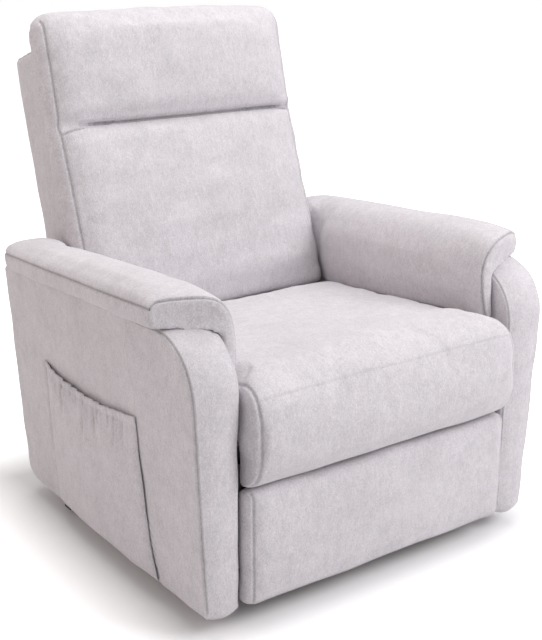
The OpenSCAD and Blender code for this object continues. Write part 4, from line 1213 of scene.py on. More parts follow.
@dataclass
class BackCushion(SoftPiece):
    """Tall one-piece back cushion with a tuck at head height and side gussets."""

    give: float = 0.5
    half: float = 309.0
    foot_s: float = 42.0
    round_r: float = 24.0
    corner_r: float = 46.0
    tuck_deep: float = 6.0
    tuck_in: float = 5.0
    tuck_w: float = 16.0
    foot_t: float = 72.0
    tuck_t: float = 47.0
    head_t: float = 52.0
    low_full: float = 24.0
    head_full: float = 17.0
    foot_round: float = 0.33
    fold_w: float = 4.5
    fold_t: float = 46.0
    foot_r: float = 20.0
    top_r: float = 34.0
    top_bow: float = 6.0
    least_t: float = 8.0
    seam_at: float = 0.955

    def thick(self, s: np.ndarray, u: float) -> np.ndarray:
        """Thickness of the cushion up along the back.

        Args:
            s: Places up along the back, from the hinge.
            u: Place across, from -1 to 1.

        Returns:
            The thickness at each place, in millimetres.
        """
        z = self.kit.sizes
        low = s < z.tuck_s
        p = np.where(low, (s - self.foot_s) / (z.tuck_s - self.foot_s),
                     (s - z.tuck_s) / (z.back_len - z.tuck_s))
        body = np.where(low, mix(self.foot_t, self.tuck_t, p), mix(self.tuck_t, self.head_t, p))
        full = np.where(low, self.low_full * arch(p) ** 0.6, self.head_full * arch(p) ** 0.5)
        dip = self.tuck_deep * np.maximum(0, 1 - ((s - z.tuck_s) / self.tuck_w) ** 2)
        return body + full * (1 - abs(u) ** 3) - dip

    def top_s(self, u: float) -> float:
        """Top of the cushion along the back at a share u of its half width."""
        corner = float(edge_in((1 - abs(u)) * self.half, self.corner_r))
        return self.kit.sizes.back_len - self.top_bow * u * u - 0.85 * corner

    def ring(self, u: float) -> np.ndarray:
        """Front outline of the cushion at a share u of its half width.

        Args:
            u: Place across, from -1 to 1.

        Returns:
            Points of the outline, from its foot up.
        """
        z = self.kit.sizes
        e = float(edge_in((1 - abs(u)) * self.half, self.round_r))
        s0, s1 = self.foot_s + e * self.foot_round, self.top_s(u)
        p = np.linspace(0, 1, 110)
        s = mix(s0, s1, mix(p, 0.5 - 0.5 * np.cos(np.pi * p), 0.6))
        r = edge_in(s - s0, self.foot_r) + edge_in(s1 - s, self.top_r)
        t = -z.shell_front_t - 0.3 - np.maximum(self.least_t, self.thick(s, u) - e - r)
        return z.lean_at(u * self.half, t, s)

    def form(self) -> tuple[np.ndarray, list]:
        """Points and faces of the closed starting form.

        Returns:
            The points in the chair's layout, and the faces.
        """
        z, rings = self.kit.sizes, []
        for u in across():
            front = self.ring(u)
            e = float(edge_in((1 - abs(u)) * self.half, self.round_r))
            s = np.linspace(self.top_s(u), self.foot_s + e * self.foot_round, 24)
            rear = z.lean_at(u * self.half, self.tuck_in - z.shell_front_t, s)
            rings.append(np.concatenate([front, rear]))
        return Mesher.loft(np.array(rings))

    def along(self, points: np.ndarray) -> tuple[np.ndarray, np.ndarray]:
        """Places of points on the leaning back.

        Args:
            points: Points in the chair's layout.

        Returns:
            Places t across the back and s up along it.
        """
        z = self.kit.sizes
        a = math.radians(z.back_lean)
        y, h = points[:, 1] - z.hinge_y, points[:, 2] - z.hinge_z
        return y * math.cos(a) - h * math.sin(a), y * math.sin(a) + h * math.cos(a)

    def freedom(self, points: np.ndarray) -> np.ndarray:
        """Holds the rear face, the foot and, by half, the sides.

        Args:
            points: Points in the chair's layout.

        Returns:
            The share from 0 to 1 that each point may follow the simulation.
        """
        z = self.kit.sizes
        t, s = self.along(points)
        front = ease((-z.shell_front_t - t - 8) / 30)
        side = 1 - 0.8 * ease((np.abs(points[:, 0]) - self.half + 22) / 20)
        foot = ease((s - self.foot_s) / 90)
        tuck = 1 - 0.8 * np.exp(-((s - z.tuck_s) / 22.0) ** 2)
        top = 1 - 0.6 * ease((s - z.back_len + 40) / 40)
        return front * side * foot * tuck * top * self.give

    def tuck_line(self, wide: float, raise_end: float = 0.0) -> np.ndarray:
        """Points along the tuck on the cushion's face.

        Args:
            wide: Half length of the line across the chair.
            raise_end: How far the line's ends lie above its middle.

        Returns:
            The points, from the left end to the right one.
        """
        z = self.kit.sizes
        x = np.linspace(-wide, wide, 120)
        s = z.tuck_s + raise_end * (np.abs(x) / wide) ** 6
        t = np.array([-z.shell_front_t - float(self.thick(np.array([z.tuck_s]), xx / self.half)[0])
                      for xx in x])
        return z.lean_at(x, t, s)

    def shape(self, obj: bpy.types.Object) -> None:
        """Presses the narrow fold of the tuck and the small folds at its ends.

        Args:
            obj: The piece's object.
        """
        z, mesher = self.kit.sizes, self.kit.mesher
        tree = mesher.tree(obj)
        tuck, _ = mesher.onto(tree, resample(self.tuck_line(self.half - 16)[9:], 3.0))
        roll = tuck + z.lean_at(0.0, 0.0, 14.0) - z.lean_at(0.0, 0.0, 0.0)
        folds = []
        for x0, s0, x1, s1 in ((-self.half + 17, -17, -self.half + 66, -9),
                               (self.half - 14, -7, self.half - 50, -2)):
            x, p = np.linspace(x0, x1, 20), np.linspace(0, 1, 20)
            fold = z.lean_at(x, -z.shell_front_t - self.fold_t, z.tuck_s + mix(s0, s1, p))
            folds.append(mesher.onto(tree, resample(fold, 3.0))[0])
        mesher.refine(obj, [tuck] + folds, 13.0)
        mesher.refine(obj, [tuck] + folds, 6.0)
        steps = [(tuck[4 * i:len(tuck) - 4 * i], deep, 4.0)
                 for i, deep in enumerate((1.0, 1.5, 2.5, 3.0))]
        mesher.carve(obj, [(tuck, 3.0, 12.0), (roll, -3.0, 15.0)] + steps
                     + [(fold, 2.0, self.fold_w) for fold in folds]
                     + [(fold[3:-3], 2.5, self.fold_w) for fold in folds])

    def seams(self) -> list:
        """Gusset seams up both sides."""
        return [Seam(self.ring(u)[4:-2], depth=2.4, width=5.0, rows=(4.0 * s, 7.5 * s))
                for s, u in ((1, -self.seam_at), (-1, self.seam_at))]


@dataclass
class BackShell(SoftPiece):
    """Upholstered shell round the back's frame, open to the front and below."""

    waves: tuple = (70.0, 220.0)
    wall: float = 9.0
    corner: float = 34.0
    seam_in: float = 30.0
    top_seam: float = 3.0
    foot_hem: float = 14.0

    def outline(self, inset: float) -> np.ndarray:
        """The shell's outline in plan.

        Args:
            inset: Distance in from the shell's outer face.

        Returns:
            Points as x and t, from the left front edge round to the right one.
        """
        z = self.kit.sizes
        half, rear, r = z.shell_half - inset, z.shell_rear_t - inset, max(self.corner - inset, 4.0)
        a = np.radians(np.linspace(0, 90, 9))
        left = np.stack([-half + r - r * np.cos(a), rear - r + r * np.sin(a)], axis=1)
        right = left[::-1] * [-1, 1]
        side_t = np.linspace(-z.shell_front_t, rear - r, 6)[:-1]
        return np.concatenate([np.stack([np.full(5, -half), side_t], axis=1), left, right,
                               np.stack([np.full(5, half), side_t[::-1]], axis=1)])

    def form(self) -> tuple[np.ndarray, list]:
        """The shell's walls and its top as two closed forms that the remesh joins.

        Returns:
            The points in the chair's layout, and the faces.
        """
        z = self.kit.sizes
        out, inn = self.outline(0.0), self.outline(self.wall)
        rings = []
        for s in np.linspace(z.shell_foot_s, z.shell_top_s - 1, 24):
            both = np.concatenate([out, inn[::-1]])
            rings.append(z.lean_at(both[:, 0], both[:, 1], s))
        points, faces = Mesher.loft(np.array(rings))
        lid = np.array([z.lean_at(out[:, 0], out[:, 1], s)
                        for s in np.linspace(z.shell_top_s - self.wall - 2, z.shell_top_s, 3)])
        more, caps = Mesher.loft(lid)
        faces += [tuple(i + len(points) for i in face) for face in caps]
        return np.concatenate([points, more]), faces

    def build(self) -> bpy.types.Object:
        """Makes the shell without a simulation, its cloth being pulled tight.

        Returns:
            The piece's object.
        """
        mesher = self.kit.mesher
        obj = mesher.make(self.name, *self.form())
        mesher.remesh(obj, self.voxel, self.smooth)
        mesher.subdivide(obj)
        mesher.ripple(obj, self.uneven, *self.waves, self.seed)
        return self.finish_off(obj)

    def seams(self) -> list:
        """Upright seams at the rear corners, the top's edge seam and the foot's hem.

        Returns:
            The four seams.
        """
        z = self.kit.sizes
        s = np.linspace(z.shell_foot_s + 12, z.shell_top_s - 6, 80)
        half, rear = z.shell_half, z.shell_rear_t
        lines = [Seam(z.lean_at(x * (half - self.seam_in), rear, s), rows=(5.0, -5.0)) for x in (-1, 1)]
        out = self.outline(0.0)
        edge = z.lean_at(out[:, 0], out[:, 1], z.shell_top_s - self.top_seam)
        lines.append(Seam(edge, rows=()))
        hem = z.lean_at(out[5:-5, 0], out[5:-5, 1], z.shell_foot_s + self.foot_hem)
        lines.append(Seam(hem, depth=1.2, rows=(0.0,)))
        return lines


@dataclass
class ArmCover(SoftPiece):
    """Upholstered arm: flared outer panel, crowned front band and tight inner face."""

    waves: tuple = (60.0, 240.0)
    side: Side = Side.LEFT
    edge_r: float = 7.5
    band_crown: float = 6.0
    panel_puff: float = 4.0
    heel_r: float = 40.0
    toe_r: float = 10.0
    rake: float = 4.0
    rake_top: float = 400.0
    rake_h: float = 355.0
    rake_reach: float = 200.0
    foot_drop: float = 6.0
    seam_end: float = 215.0
    seam_turn: float = 300.0
    front_strip: float = 40.0
    pocket_seams: tuple = ((170.8, 198.0), (572.0, 577.0))
    pocket_seam_h: float = 322.0
    pocket_h: float = 325.0

    def outline(self) -> tuple[np.ndarray, np.ndarray]:
        """The arm's side outline in even steps.

        Returns:
            The outline's points and its outward normals, both as y and z.
        """
        z = self.kit.sizes
        m, r, low = z.arm_slope, z.arm_front_r, z.arm_clear - self.foot_drop
        up = math.atan2(1.0, m)
        arc = np.radians(180) + (up - np.radians(180)) * np.linspace(0, 1, 24)
        heel, toe = np.radians(np.linspace(0, -90, 10)), np.radians(np.linspace(-90, -180, 6))
        back = np.radians(np.linspace(6, 90, 6))
        line = np.concatenate([
            np.stack([r + r * np.cos(arc), z.arc_z + r * np.sin(arc)], axis=1),
            np.stack([z.arm_l - self.toe_r + self.toe_r * np.sin(back),
                      z.arm_top(z.arm_l) - self.toe_r + self.toe_r * np.cos(back)], axis=1),
            np.stack([z.arm_l - self.heel_r + self.heel_r * np.cos(heel),
                      low + self.heel_r + self.heel_r * np.sin(heel)], axis=1),
            np.stack([self.toe_r + self.toe_r * np.cos(toe),
                      low + self.toe_r + self.toe_r * np.sin(toe)], axis=1),
            [[0.0, z.arc_z]]])
        line = resample(line, 6.0)[:-1]
        way = np.roll(line, -1, axis=0) - np.roll(line, 1, axis=0)
        way /= np.linalg.norm(way, axis=1, keepdims=True)
        return line, np.stack([-way[:, 1], way[:, 0]], axis=1)

    def row(self, inset: float, shrink: float, out: object) -> np.ndarray:
        """One ring of the cover.

        Args:
            inset: Distance in from the outline.
            shrink: Scale about the arm's middle, 1 at the edge.
            out: Function that gives x for an array of y and z.

        Returns:
            Points of the ring in the chair's layout.
        """
        z = self.kit.sizes
        line, away = self.outline()
        flat = line - away * inset
        centre = np.array([z.arm_l / 2, z.arm_clear + z.arm_h / 2])
        flat = centre + (flat - centre) * shrink
        lean = self.rake * np.clip((self.rake_top - flat[:, 1]) / self.rake_h, 0, 1) \
            * np.clip(1 - flat[:, 0] / self.rake_reach, 0, 1)
        return spots_at(out(flat[:, 0], flat[:, 1]), flat[:, 0] + lean, flat[:, 1])

    def form(self) -> tuple[np.ndarray, list]:
        """Rings from the middle of the inner face, round the band, to the outer middle.

        Returns:
            The points in the chair's layout, and the faces.
        """
        z, r = self.kit.sizes, self.edge_r
        inner = z.half_gap + 0.4
        rows = [self.row(r, s, lambda y, h: inner)
                for s in (0.04, 0.25, 0.5, 0.75, 0.93, 1.0)]
        for a in np.radians((18, 36, 54, 72, 90)):
            rows.append(self.row(r * (1 - math.sin(a)), 1.0,
                                 lambda y, h, a=a: inner + r * (1 - math.cos(a))))
        for t in np.linspace(0.05, 0.95, 18):
            rows.append(self.row(-self.band_crown * (1 - (2 * t - 1) ** 2), 1.0,
                                 lambda y, h, t=t: mix(inner + r, z.arm_out(h) - r, t)))
        for a in np.radians((90, 72, 54, 36, 18, 0)):
            rows.append(self.row(r * (1 - math.sin(a)), 1.0,
                                 lambda y, h, a=a: z.arm_out(h) - r * (1 - math.cos(a))))
        for s in np.concatenate([1 - 0.018 * np.arange(1, 5), np.linspace(0.9, 0.04, 13)]):
            puff = self.panel_puff * (1 - ((s - 0.04) / 0.96) ** 4)
            rows.append(self.row(r, s, lambda y, h, p=puff: z.arm_out(h) + p))
        rings = np.array(rows)
        rings[:, :, 0] *= self.side.value
        return Mesher.loft(rings)

    def build(self) -> bpy.types.Object:
        """Makes the cover from its rings, its cloth being pulled over the frame.

        Returns:
            The piece's object.
        """
        mesher = self.kit.mesher
        obj = mesher.make(self.name, *self.form())
        mesher.ripple(obj, self.uneven, *self.waves, self.seed)
        return self.finish_off(obj)

    def seams(self) -> list:
        """Seams where the band meets the outer and the inner panel, down the front.

        Returns:
            The two band seams, and on the left arm those beside the pocket.
        """
        z, s = self.kit.sizes, self.side.value
        ring = self.row(self.edge_r * 0.3, 1.0, lambda y, h: z.arm_out(h) - self.edge_r * 0.3)
        inner = self.row(self.edge_r * 0.3, 1.0,
                         lambda y, h: z.half_gap + self.edge_r * 0.3)
        front = []
        for line in (ring, inner):
            line = line * [s, 1, 1]
            keep = (line[:, 1] < self.seam_end) & (line[:, 2] > z.arm_clear + 8) & (
                (line[:, 1] < self.front_strip) | (line[:, 2] > self.seam_turn))
            part = line[keep]
            turn = -np.arctan2(part[:, 2] - self.seam_turn, part[:, 1] - self.seam_turn)
            turn %= 2 * np.pi
            front.append(part[np.argsort(turn)])
        seams = [Seam(front[0], depth=2.6, width=4.2, rows=(5.0, -5.0)),
                 Seam(front[1], depth=2.0, width=4.2, rows=())]
        if self.side is Side.LEFT:
            h = np.linspace(z.arm_clear + 6, z.arm_clear + self.pocket_seam_h, 80)
            b = (h - z.arm_clear) / self.pocket_h
            for foot, head in self.pocket_seams:
                seams.append(Seam(spots_at(-z.arm_out(h), mix(foot, head, b), h),
                                  depth=3.0, width=4.0, rows=()))
        return seams


@dataclass
class ArmPad(SoftPiece):
    """Rolled pad over the arm that drapes down its inside, with a stitched edge strip."""

    give: float = 0.35
    side: Side = Side.LEFT
    y0: float = 51.0
    end_gap: float = 13.0
    drape_t: float = 22.0
    slant: float = 44.0
    roll: float = 8.0
    dip: float = 12.0
    front_r: float = 12.0
    rear_r: float = 26.0
    plan_front_r: float = 10.0
    plan_rear_r: float = 56.0
    fall: float = 9.0
    slant_reach: float = 230.0
    rear_t: float = 11.0
    nose_tuck: float = 9.0
    nose_h: float = 110.0
    nose_reach: float = 120.0
    dip_reach: float = 110.0
    drape_end: float = 600.0
    drape_ease: float = 50.0
    hang_end: float = 665.0
    hang_ease: float = 30.0
    strip_x: float = 405.0

    def base(self, y: np.ndarray) -> np.ndarray:
        """Height of the pad's underside, which follows the arm's top and its front arc.

        Args:
            y: Distances from the arm's front.

        Returns:
            The heights.
        """
        z = self.kit.sizes
        r, m = z.arm_front_r, z.arm_slope
        arc = 1.3 + z.arc_z + np.sqrt(np.clip(r * r - (r - y) ** 2, 0, None))
        return 0.3 + np.where(y > r + r * m / math.hypot(m, 1), z.arm_top(y), arc)

    def back_by(self, out: np.ndarray, f: float) -> np.ndarray:
        """How far the pad's front is slanted back, at shares out and a distance f along it."""
        return self.slant * out ** 1.3 * max(0.0, 1 - f / self.slant_reach)

    def sheared(self, x: np.ndarray, y: float, h: np.ndarray) -> np.ndarray:
        """Points of a ring, with the pad's front end slanted back towards the outside.

        Args:
            x: Distances from the chair's middle.
            y: Place of the ring along the arm.
            h: Heights.

        Returns:
            The points in the chair's layout.
        """
        z, f = self.kit.sizes, y - self.y0
        out = np.clip((x - z.half_gap - 4) / (z.arm_foot_w + z.arm_flare), 0, 1)
        low = ease((z.arm_top(y) - h) / self.nose_h)
        tuck = self.nose_tuck * low * max(0.0, 1 - f / self.nose_reach)
        at = y + self.back_by(out, f) - tuck
        return spots_at(x * self.side.value, at, h)

    def ring(self, y: float) -> np.ndarray:
        """Outline of the pad across the arm.

        Args:
            y: Place of the ring along the arm.

        Returns:
            Points of the outline, from its outer foot over to the drape's hem.
        """
        z = self.kit.sizes
        length = z.arm_l - self.end_gap - self.y0
        f, b = y - self.y0, self.y0 + length - y
        e = float(edge_in(f, self.front_r) + edge_in(b, self.rear_r))
        zt, drape = z.arm_top(y), float(ease((self.drape_end - y) / self.drape_ease))
        hang = float(ease((self.hang_end - y) / self.hang_ease))
        xo = z.half_gap + z.arm_foot_w + z.arm_flare + z.pad_overhang \
            - float(edge_in(f, self.plan_front_r)) - float(edge_in(b, self.plan_rear_r))
        xi = mix(z.half_gap - self.rear_t, z.half_gap - self.drape_t, drape) + e / 2
        xn = xi - self.roll * drape
        zd = mix(zt - 14.0, z.seat_top(min(y, z.seat_d + 20.0)) - 6.0, hang)
        edge = zt + z.pad_edge - e / 2
        top = zt + z.pad_crown - self.fall * f / length - e \
            - self.dip * max(0.0, 1 - f / self.dip_reach) ** 2
        zi, xc = mix(top, zd, mix(0.42, 0.5, hang)), mix(xi, xo, 0.45)
        side = np.linspace(0, 1, 8)
        a = np.radians(np.linspace(0, 90, 18)[:-1])
        c = np.radians(np.linspace(0, 90, 20)[:-1])
        d = np.radians(np.linspace(0, 90, 16))
        hem = min(z.half_gap - 2.3, xi + 6.0)
        x = np.concatenate([xo - 4.0 * (1 - side) ** 3, mix(xc, xo - 2.0, np.cos(a) ** 0.75),
                            xc - (xc - xn) * np.sin(c) ** 0.85, xn + (hem - xn) * (1 - np.cos(d))])
        low = float(self.base(y + self.back_by(1.0, f))) + 2.0
        h = np.concatenate([mix(low, edge, side), edge + (top - edge) * np.sin(a) ** 0.8,
                            zi + (top - zi) * np.cos(c) ** 0.85, zi - (zi - zd) * np.sin(d)])
        return self.sheared(x, y, h)

    def under(self, y: float, ring: np.ndarray) -> np.ndarray:
        """Underside of the pad.

        Args:
            y: Place of the ring along the arm.
            ring: The pad's outline there.

        Returns:
            Points of the underside, from the drape's hem back to the outer foot.
        """
        z, f = self.kit.sizes, y - self.y0
        wall, xo = z.half_gap - 0.5, abs(ring[0, 0])
        up = np.linspace(ring[-1, 2] + 3.0, float(self.base(y)), 16)
        x = np.linspace(wall, xo - 8.0, 14)[1:]
        out = np.clip((x - z.half_gap - 4) / (z.arm_foot_w + z.arm_flare), 0, 1)
        rest = self.base(y + self.back_by(out, f))
        return np.concatenate([self.sheared(np.full(16, wall), y, up), self.sheared(x, y, rest)])

    def form(self) -> tuple[np.ndarray, list]:
        """Points and faces of the closed starting form.

        Returns:
            The points in the chair's layout, and the faces.
        """
        z, rings = self.kit.sizes, []
        length = z.arm_l - self.end_gap - self.y0
        for p in np.linspace(0, 1, 56):
            y = self.y0 + length * (0.5 - 0.5 * math.cos(math.pi * p))
            ring = self.ring(y)
            rings.append(np.concatenate([ring, self.under(y, ring)]))
        return Mesher.loft(np.array(rings))

    def freedom(self, points: np.ndarray) -> np.ndarray:
        """Holds the underside, the drape's back and hem, and the stitched edge.

        Args:
            points: Points in the chair's layout.

        Returns:
            The share from 0 to 1 that each point may follow the simulation.
        """
        z = self.kit.sizes
        x = np.abs(points[:, 0])
        over = ease((points[:, 2] - z.arm_top(points[:, 1]) - 6) / 30)
        drape = ease((z.half_gap - 6 - x) / 14)
        drape = drape * ease((points[:, 2] - z.seat_top(points[:, 1]) - 10) / 50)
        ends = ease((points[:, 1] - self.y0 - 4) / 40) * ease((z.arm_l - points[:, 1] - 20) / 30)
        edge = 1 - 0.8 * ease((x - self.strip_x) / 20)
        return np.maximum(over, drape) * ends * edge * self.give

    def seams(self) -> list:
        """The edge strip's seam along the outside and over the front, doubly topstitched.

        Returns:
            The seam along the outside and the one over the front.
        """
        z, s = self.kit.sizes, self.side.value
        length = z.arm_l - self.end_gap - self.y0
        ys = self.y0 + 4 + (length - 16) * np.linspace(0, 1, 90)
        outer = np.array([self.ring(float(y))[7] for y in ys])
        front = self.ring(self.y0 + 4.0)[7:-2]
        return [Seam(line, depth=3.0, width=4.2, rows=(4.2 * s, -4.2 * s))
                for line in (outer, front)]


@dataclass
class FootrestPad(SoftPiece):
    """Padded front panel of the footrest."""

    give: float = 0.35
    half: float = 316.0
    low: float = 47.0
    high: float = 274.5
    front: float = -16.0
    thick: float = 40.0
    round_r: float = 12.0
    crown: float = 9.0
    seam_at: float = 0.972

    def ring(self, u: float) -> np.ndarray:
        """Front outline of the panel at a share u of its half width.

        Args:
            u: Place across, from -1 to 1.

        Returns:
            Points of the outline, from its foot up.
        """
        e = float(edge_in((1 - abs(u)) * self.half, self.round_r))
        p = np.linspace(0, 1, 40)
        h = mix(self.low + e / 2, self.high - e / 2, 0.5 - 0.5 * np.cos(np.pi * p))
        r = edge_in(h - h[0], self.round_r) + edge_in(h[-1] - h, self.round_r)
        y = self.front + e + r - self.crown * (1 - abs(u) ** 4) * np.sin(np.pi * p)
        return spots_at(u * self.half, y, h)

    def form(self) -> tuple[np.ndarray, list]:
        """Points and faces of the closed starting form.

        Returns:
            The points in the chair's layout, and the faces.
        """
        rings = []
        for u in across():
            front = self.ring(u)
            rear = front[::-2].copy()
            rear[:, 1] = self.front + self.thick - 0.6
            rings.append(np.concatenate([front, rear]))
        return Mesher.loft(np.array(rings))

    def freedom(self, points: np.ndarray) -> np.ndarray:
        """Holds the panel's rear face and its edges.

        Args:
            points: Points in the chair's layout.

        Returns:
            The share from 0 to 1 that each point may follow the simulation.
        """
        front = ease((self.front + self.thick - 8 - points[:, 1]) / 20)
        side = 1 - 0.8 * ease((np.abs(points[:, 0]) - self.half + 20) / 18)
        ends = ease((points[:, 2] - self.low) / 24) * ease((self.high - points[:, 2]) / 24)
        return front * side * (0.3 + 0.7 * ends) * self.give

    def seams(self) -> list:
        """Side seams and the foot's hem.

        Returns:
            The two side seams and the hem.
        """
        sides = [Seam(self.ring(u)[1:-1], depth=2.2, width=4.5, rows=(4.5 * s,))
                 for s, u in ((1, -self.seam_at), (-1, self.seam_at))]
        hem = np.array([self.ring(float(u))[5] for u in np.linspace(-0.96, 0.96, 60)])
        return sides + [Seam(hem, depth=0.8, width=4.5, rows=(0.0,))]


@dataclass
class RearValance(SoftPiece):
    """Panel that closes the chair's back under the reclining back, with the lead's port."""

    voxel: float = 3.5
    uneven: float = 0.5
    waves: tuple = (60.0, 200.0)
    half: float = 321.7
    front: float = 736.0
    thick: float = 12.0
    low: float = 50.0
    high: float = 236.0
    port: tuple = (-97.0, 192.0, 14.0)
    overrun: float = 9.0
    foot_hem: float = 16.0
    top_hem: float = 14.0

    def build(self) -> bpy.types.Object:
        """Makes the panel with its edges softened and its port cut through.

        Returns:
            The piece's object.
        """
        mesher = self.kit.mesher
        rings = []
        for y in np.linspace(self.front, self.front + self.thick, 3):
            rings.append(spots_at(self.half * np.array([-1, 1, 1, -1]), y,
                                  [self.low, self.low, self.high, self.high]))
        obj = mesher.make(self.name, *Mesher.loft(np.array(rings)))
        x, h, r = self.port
        a = np.linspace(0, 2 * np.pi, 48, endpoint=False)
        rings = [spots_at(x + r * np.cos(a), y, h + r * np.sin(a))
                 for y in (self.front - self.overrun, self.front + self.thick + self.overrun)]
        cutter = mesher.make(self.name + "_cutter", *Mesher.loft(np.array(rings)))
        cut = obj.modifiers.new("port", "BOOLEAN")
        cut.operation, cut.object = "DIFFERENCE", cutter
        mesher.settle(obj)
        bpy.data.objects.remove(cutter)
        mesher.remesh(obj, self.voxel, self.smooth)
        mesher.ripple(obj, self.uneven, *self.waves, self.seed)
        return self.finish_off(obj)

    def seams(self) -> list:
        """Hem rows along the panel's foot and top.

        Returns:
            The two hem rows.
        """
        x = np.linspace(-self.half + 10, self.half - 10, 120)
        rear = self.front + self.thick
        return [Seam(spots_at(x, rear, h), depth=0.8, width=5.0, rows=(0.0,))
                for h in (self.low + self.foot_hem, self.high - self.top_hem)]


@dataclass
class SidePocket:
    """Gathered cloth pocket on the left arm's outer face."""

    kit: Kit
    finish: Chenille
    arm: bpy.types.Object
    front: tuple = (172.0, 199.0)
    rear: tuple = (571.0, 576.0)
    height: tuple = (330.0, 325.0)
    full: float = 18.0
    mouth: float = 7.0
    cloth_t: float = 2.0
    sag: float = 17.0
    hem: float = 15.0

    def off(self, a: np.ndarray, b: np.ndarray) -> tuple[np.ndarray, np.ndarray]:
        """How far the cloth stands off the arm.

        Args:
            a: Share along the pocket, from its front seam.
            b: Share up the pocket, from its foot.

        Returns:
            Distances in millimetres of the cloth's own form and of its pleats on top.
        """
        deep = mix(self.full, self.mouth, ease((b - 0.62) / 0.38))
        foot = np.sqrt(np.clip(1 - (1 - np.minimum(1, b / 0.11)) ** 2, 0, 1))
        body = deep * arch(a) ** 0.35 * foot
        draw = np.random.default_rng(7)
        folds = np.zeros_like(a)
        for i in range(11):
            at = 0.04 + (i + 0.5 + draw.uniform(-0.3, 0.3)) / 12
            wide = draw.uniform(0.012, 0.022)
            reach = draw.uniform(0.2, 0.5) * (0.55 + 0.45 * at)
            size = draw.uniform(9.0, 14.0) * (0.65 + 0.35 * at)
            drift = draw.uniform(-0.06, 0.06)
            fade = ease((b - (1 - reach)) / reach)
            place = (a - at - drift * (1 - b)) / (wide * (1 + 1.8 * (1 - b)))
            folds += size * fade * (np.exp(-place ** 2) - 0.75 * np.exp(-(place - 1.6) ** 2))
        band = 1 - 0.72 * ease((b - (1 - 1.6 * self.hem / self.height[0])) / 0.035)
        return body, folds * band * arch(a) ** 0.5

    def build(self) -> bpy.types.Object:
        """Returns:
            The pocket's object.
        """
        z, mesher = self.kit.sizes, self.kit.mesher
        tilt = math.atan(z.arm_flare / z.arm_h)
        nu, nv = 190, 110
        a = np.linspace(0, 1, nu)[:, None] * np.ones(nv)
        b = np.ones(nu)[:, None] * (np.linspace(0, 1, nv) ** 0.9)
        body, pleats = self.off(a, b)
        lift = body + pleats
        edge = 1.2 * ease((b - (1 - self.hem / self.height[0])) / 0.012)
        top = mix(self.height[0], self.height[1], a) - self.sag * np.sin(np.pi * a)
        u = mix(mix(self.front[0], self.front[1], b), mix(self.rear[0], self.rear[1], b), a)
        x = -(z.half_gap + z.arm_foot_w) - top * b * math.sin(tilt)
        h = z.arm_clear + top * b * math.cos(tilt)
        flat = spots_at(x, u, h)
        panel, _ = mesher.onto(mesher.tree(self.arm), flat.reshape(-1, 3))
        away = np.array([-math.cos(tilt), 0.0, -math.sin(tilt)])
        bed = (panel.reshape(flat.shape) - flat) @ away
        for _ in range(2):
            wide = np.pad(bed, ((4, 4), (0, 0)), mode="edge")
            bed = (sum(wide[i:i + len(bed)] for i in range(9)) / 9).T
        layers = [(flat + (bed + out)[:, :, None] * away).reshape(-1, 3)
                  for out in (0.6 + lift, 0.6 + lift + self.cloth_t + edge)]
        n, faces = nu * nv, []
        for i in range(nu - 1):
            for j in range(nv - 1):
                q = (i * nv + j, i * nv + j + 1, (i + 1) * nv + j + 1, (i + 1) * nv + j)
                faces += [q, tuple(n + k for k in reversed(q))]
        rim = [i * nv for i in range(nu)] + [(nu - 1) * nv + j for j in range(1, nv)] \
            + [i * nv + nv - 1 for i in range(nu - 2, -1, -1)] + [j for j in range(nv - 2, 0, -1)]
        faces += [(p, q, n + q, n + p) for p, q in zip(rim, rim[1:] + rim[:1])]
        obj = mesher.make("pocket_cloth", np.concatenate(layers), faces)
        # Painted shade in the pleats' hollows, which darkens the cloth's colour there.
        painted_pleat_shade = np.clip(-pleats / 5.0, 0.0, 0.85).reshape(-1)
        mask = obj.data.attributes.new("painted_crease_shade", "FLOAT", "POINT")
        mask.data.foreach_set("value", np.concatenate([painted_pleat_shade, painted_pleat_shade]))
        obj.data.materials.append(self.kit.cloth(self.finish))
        outer = layers[1].reshape(nu, nv, 3)
        rows = [outer[4:-4, int(nv * (1 - self.hem / self.height[0])) - 2], outer[2, 3:-3],
                outer[-3, 3:-3]]
        tree = mesher.tree(obj)
        rows = [(*mesher.onto(tree, resample(line, 2.0)), 0.0) for line in rows]
        stitches = self.kit.stitch("pocket_stitches", rows)
        for made in (obj, stitches):
            self.kit.place(made, "carriage")
        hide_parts("side_pocket")
        LOG.info("pocket_cloth: %d points, on carriage", len(obj.data.vertices))
        return obj


BLACK_TONE, GREY_TONE = (0.16, 0.16, 0.17), (0.45, 0.455, 0.47)


class InnerWorks:
    """The steel, timber and plastic pieces, shown as the CAD has them with better finishes."""

    def __init__(self, kit: Kit) -> None:
        """Makes one finish for each slot of the record.

        Args:
            kit: What every sub-assembly works with.
        """
        self.finishes = {
            Slot.BLACK_STEEL: CoatedSteel().make(kit.effects),
            Slot.ZINC_STEEL: ZincSteel().make(kit.effects),
            Slot.TIMBER: Plywood().make(kit.effects),
            Slot.BLACK_PLASTIC: MouldedPlastic("black_moulding", BLACK_TONE).make(kit.effects),
            Slot.GREY_PLASTIC: MouldedPlastic("grey_moulding", GREY_TONE).make(kit.effects),
        }

    def build(self) -> None:
        """Gives each rigid CAD node the finish of its slot."""
        slots = {s["node"]: s["material_slot"] for s in frame["record"]["subparts"]}
        for name, obj in frame["nodes"].items():
            slot = Slot(slots[name])
            if slot is Slot.UPHOLSTERY:
                continue
            if not obj.material_slots:
                obj.data.materials.append(self.finishes[slot])
            for place in obj.material_slots:
                place.material = self.finishes[slot]
        LOG.info("inner works: %d CAD nodes dressed", len(frame["nodes"]))


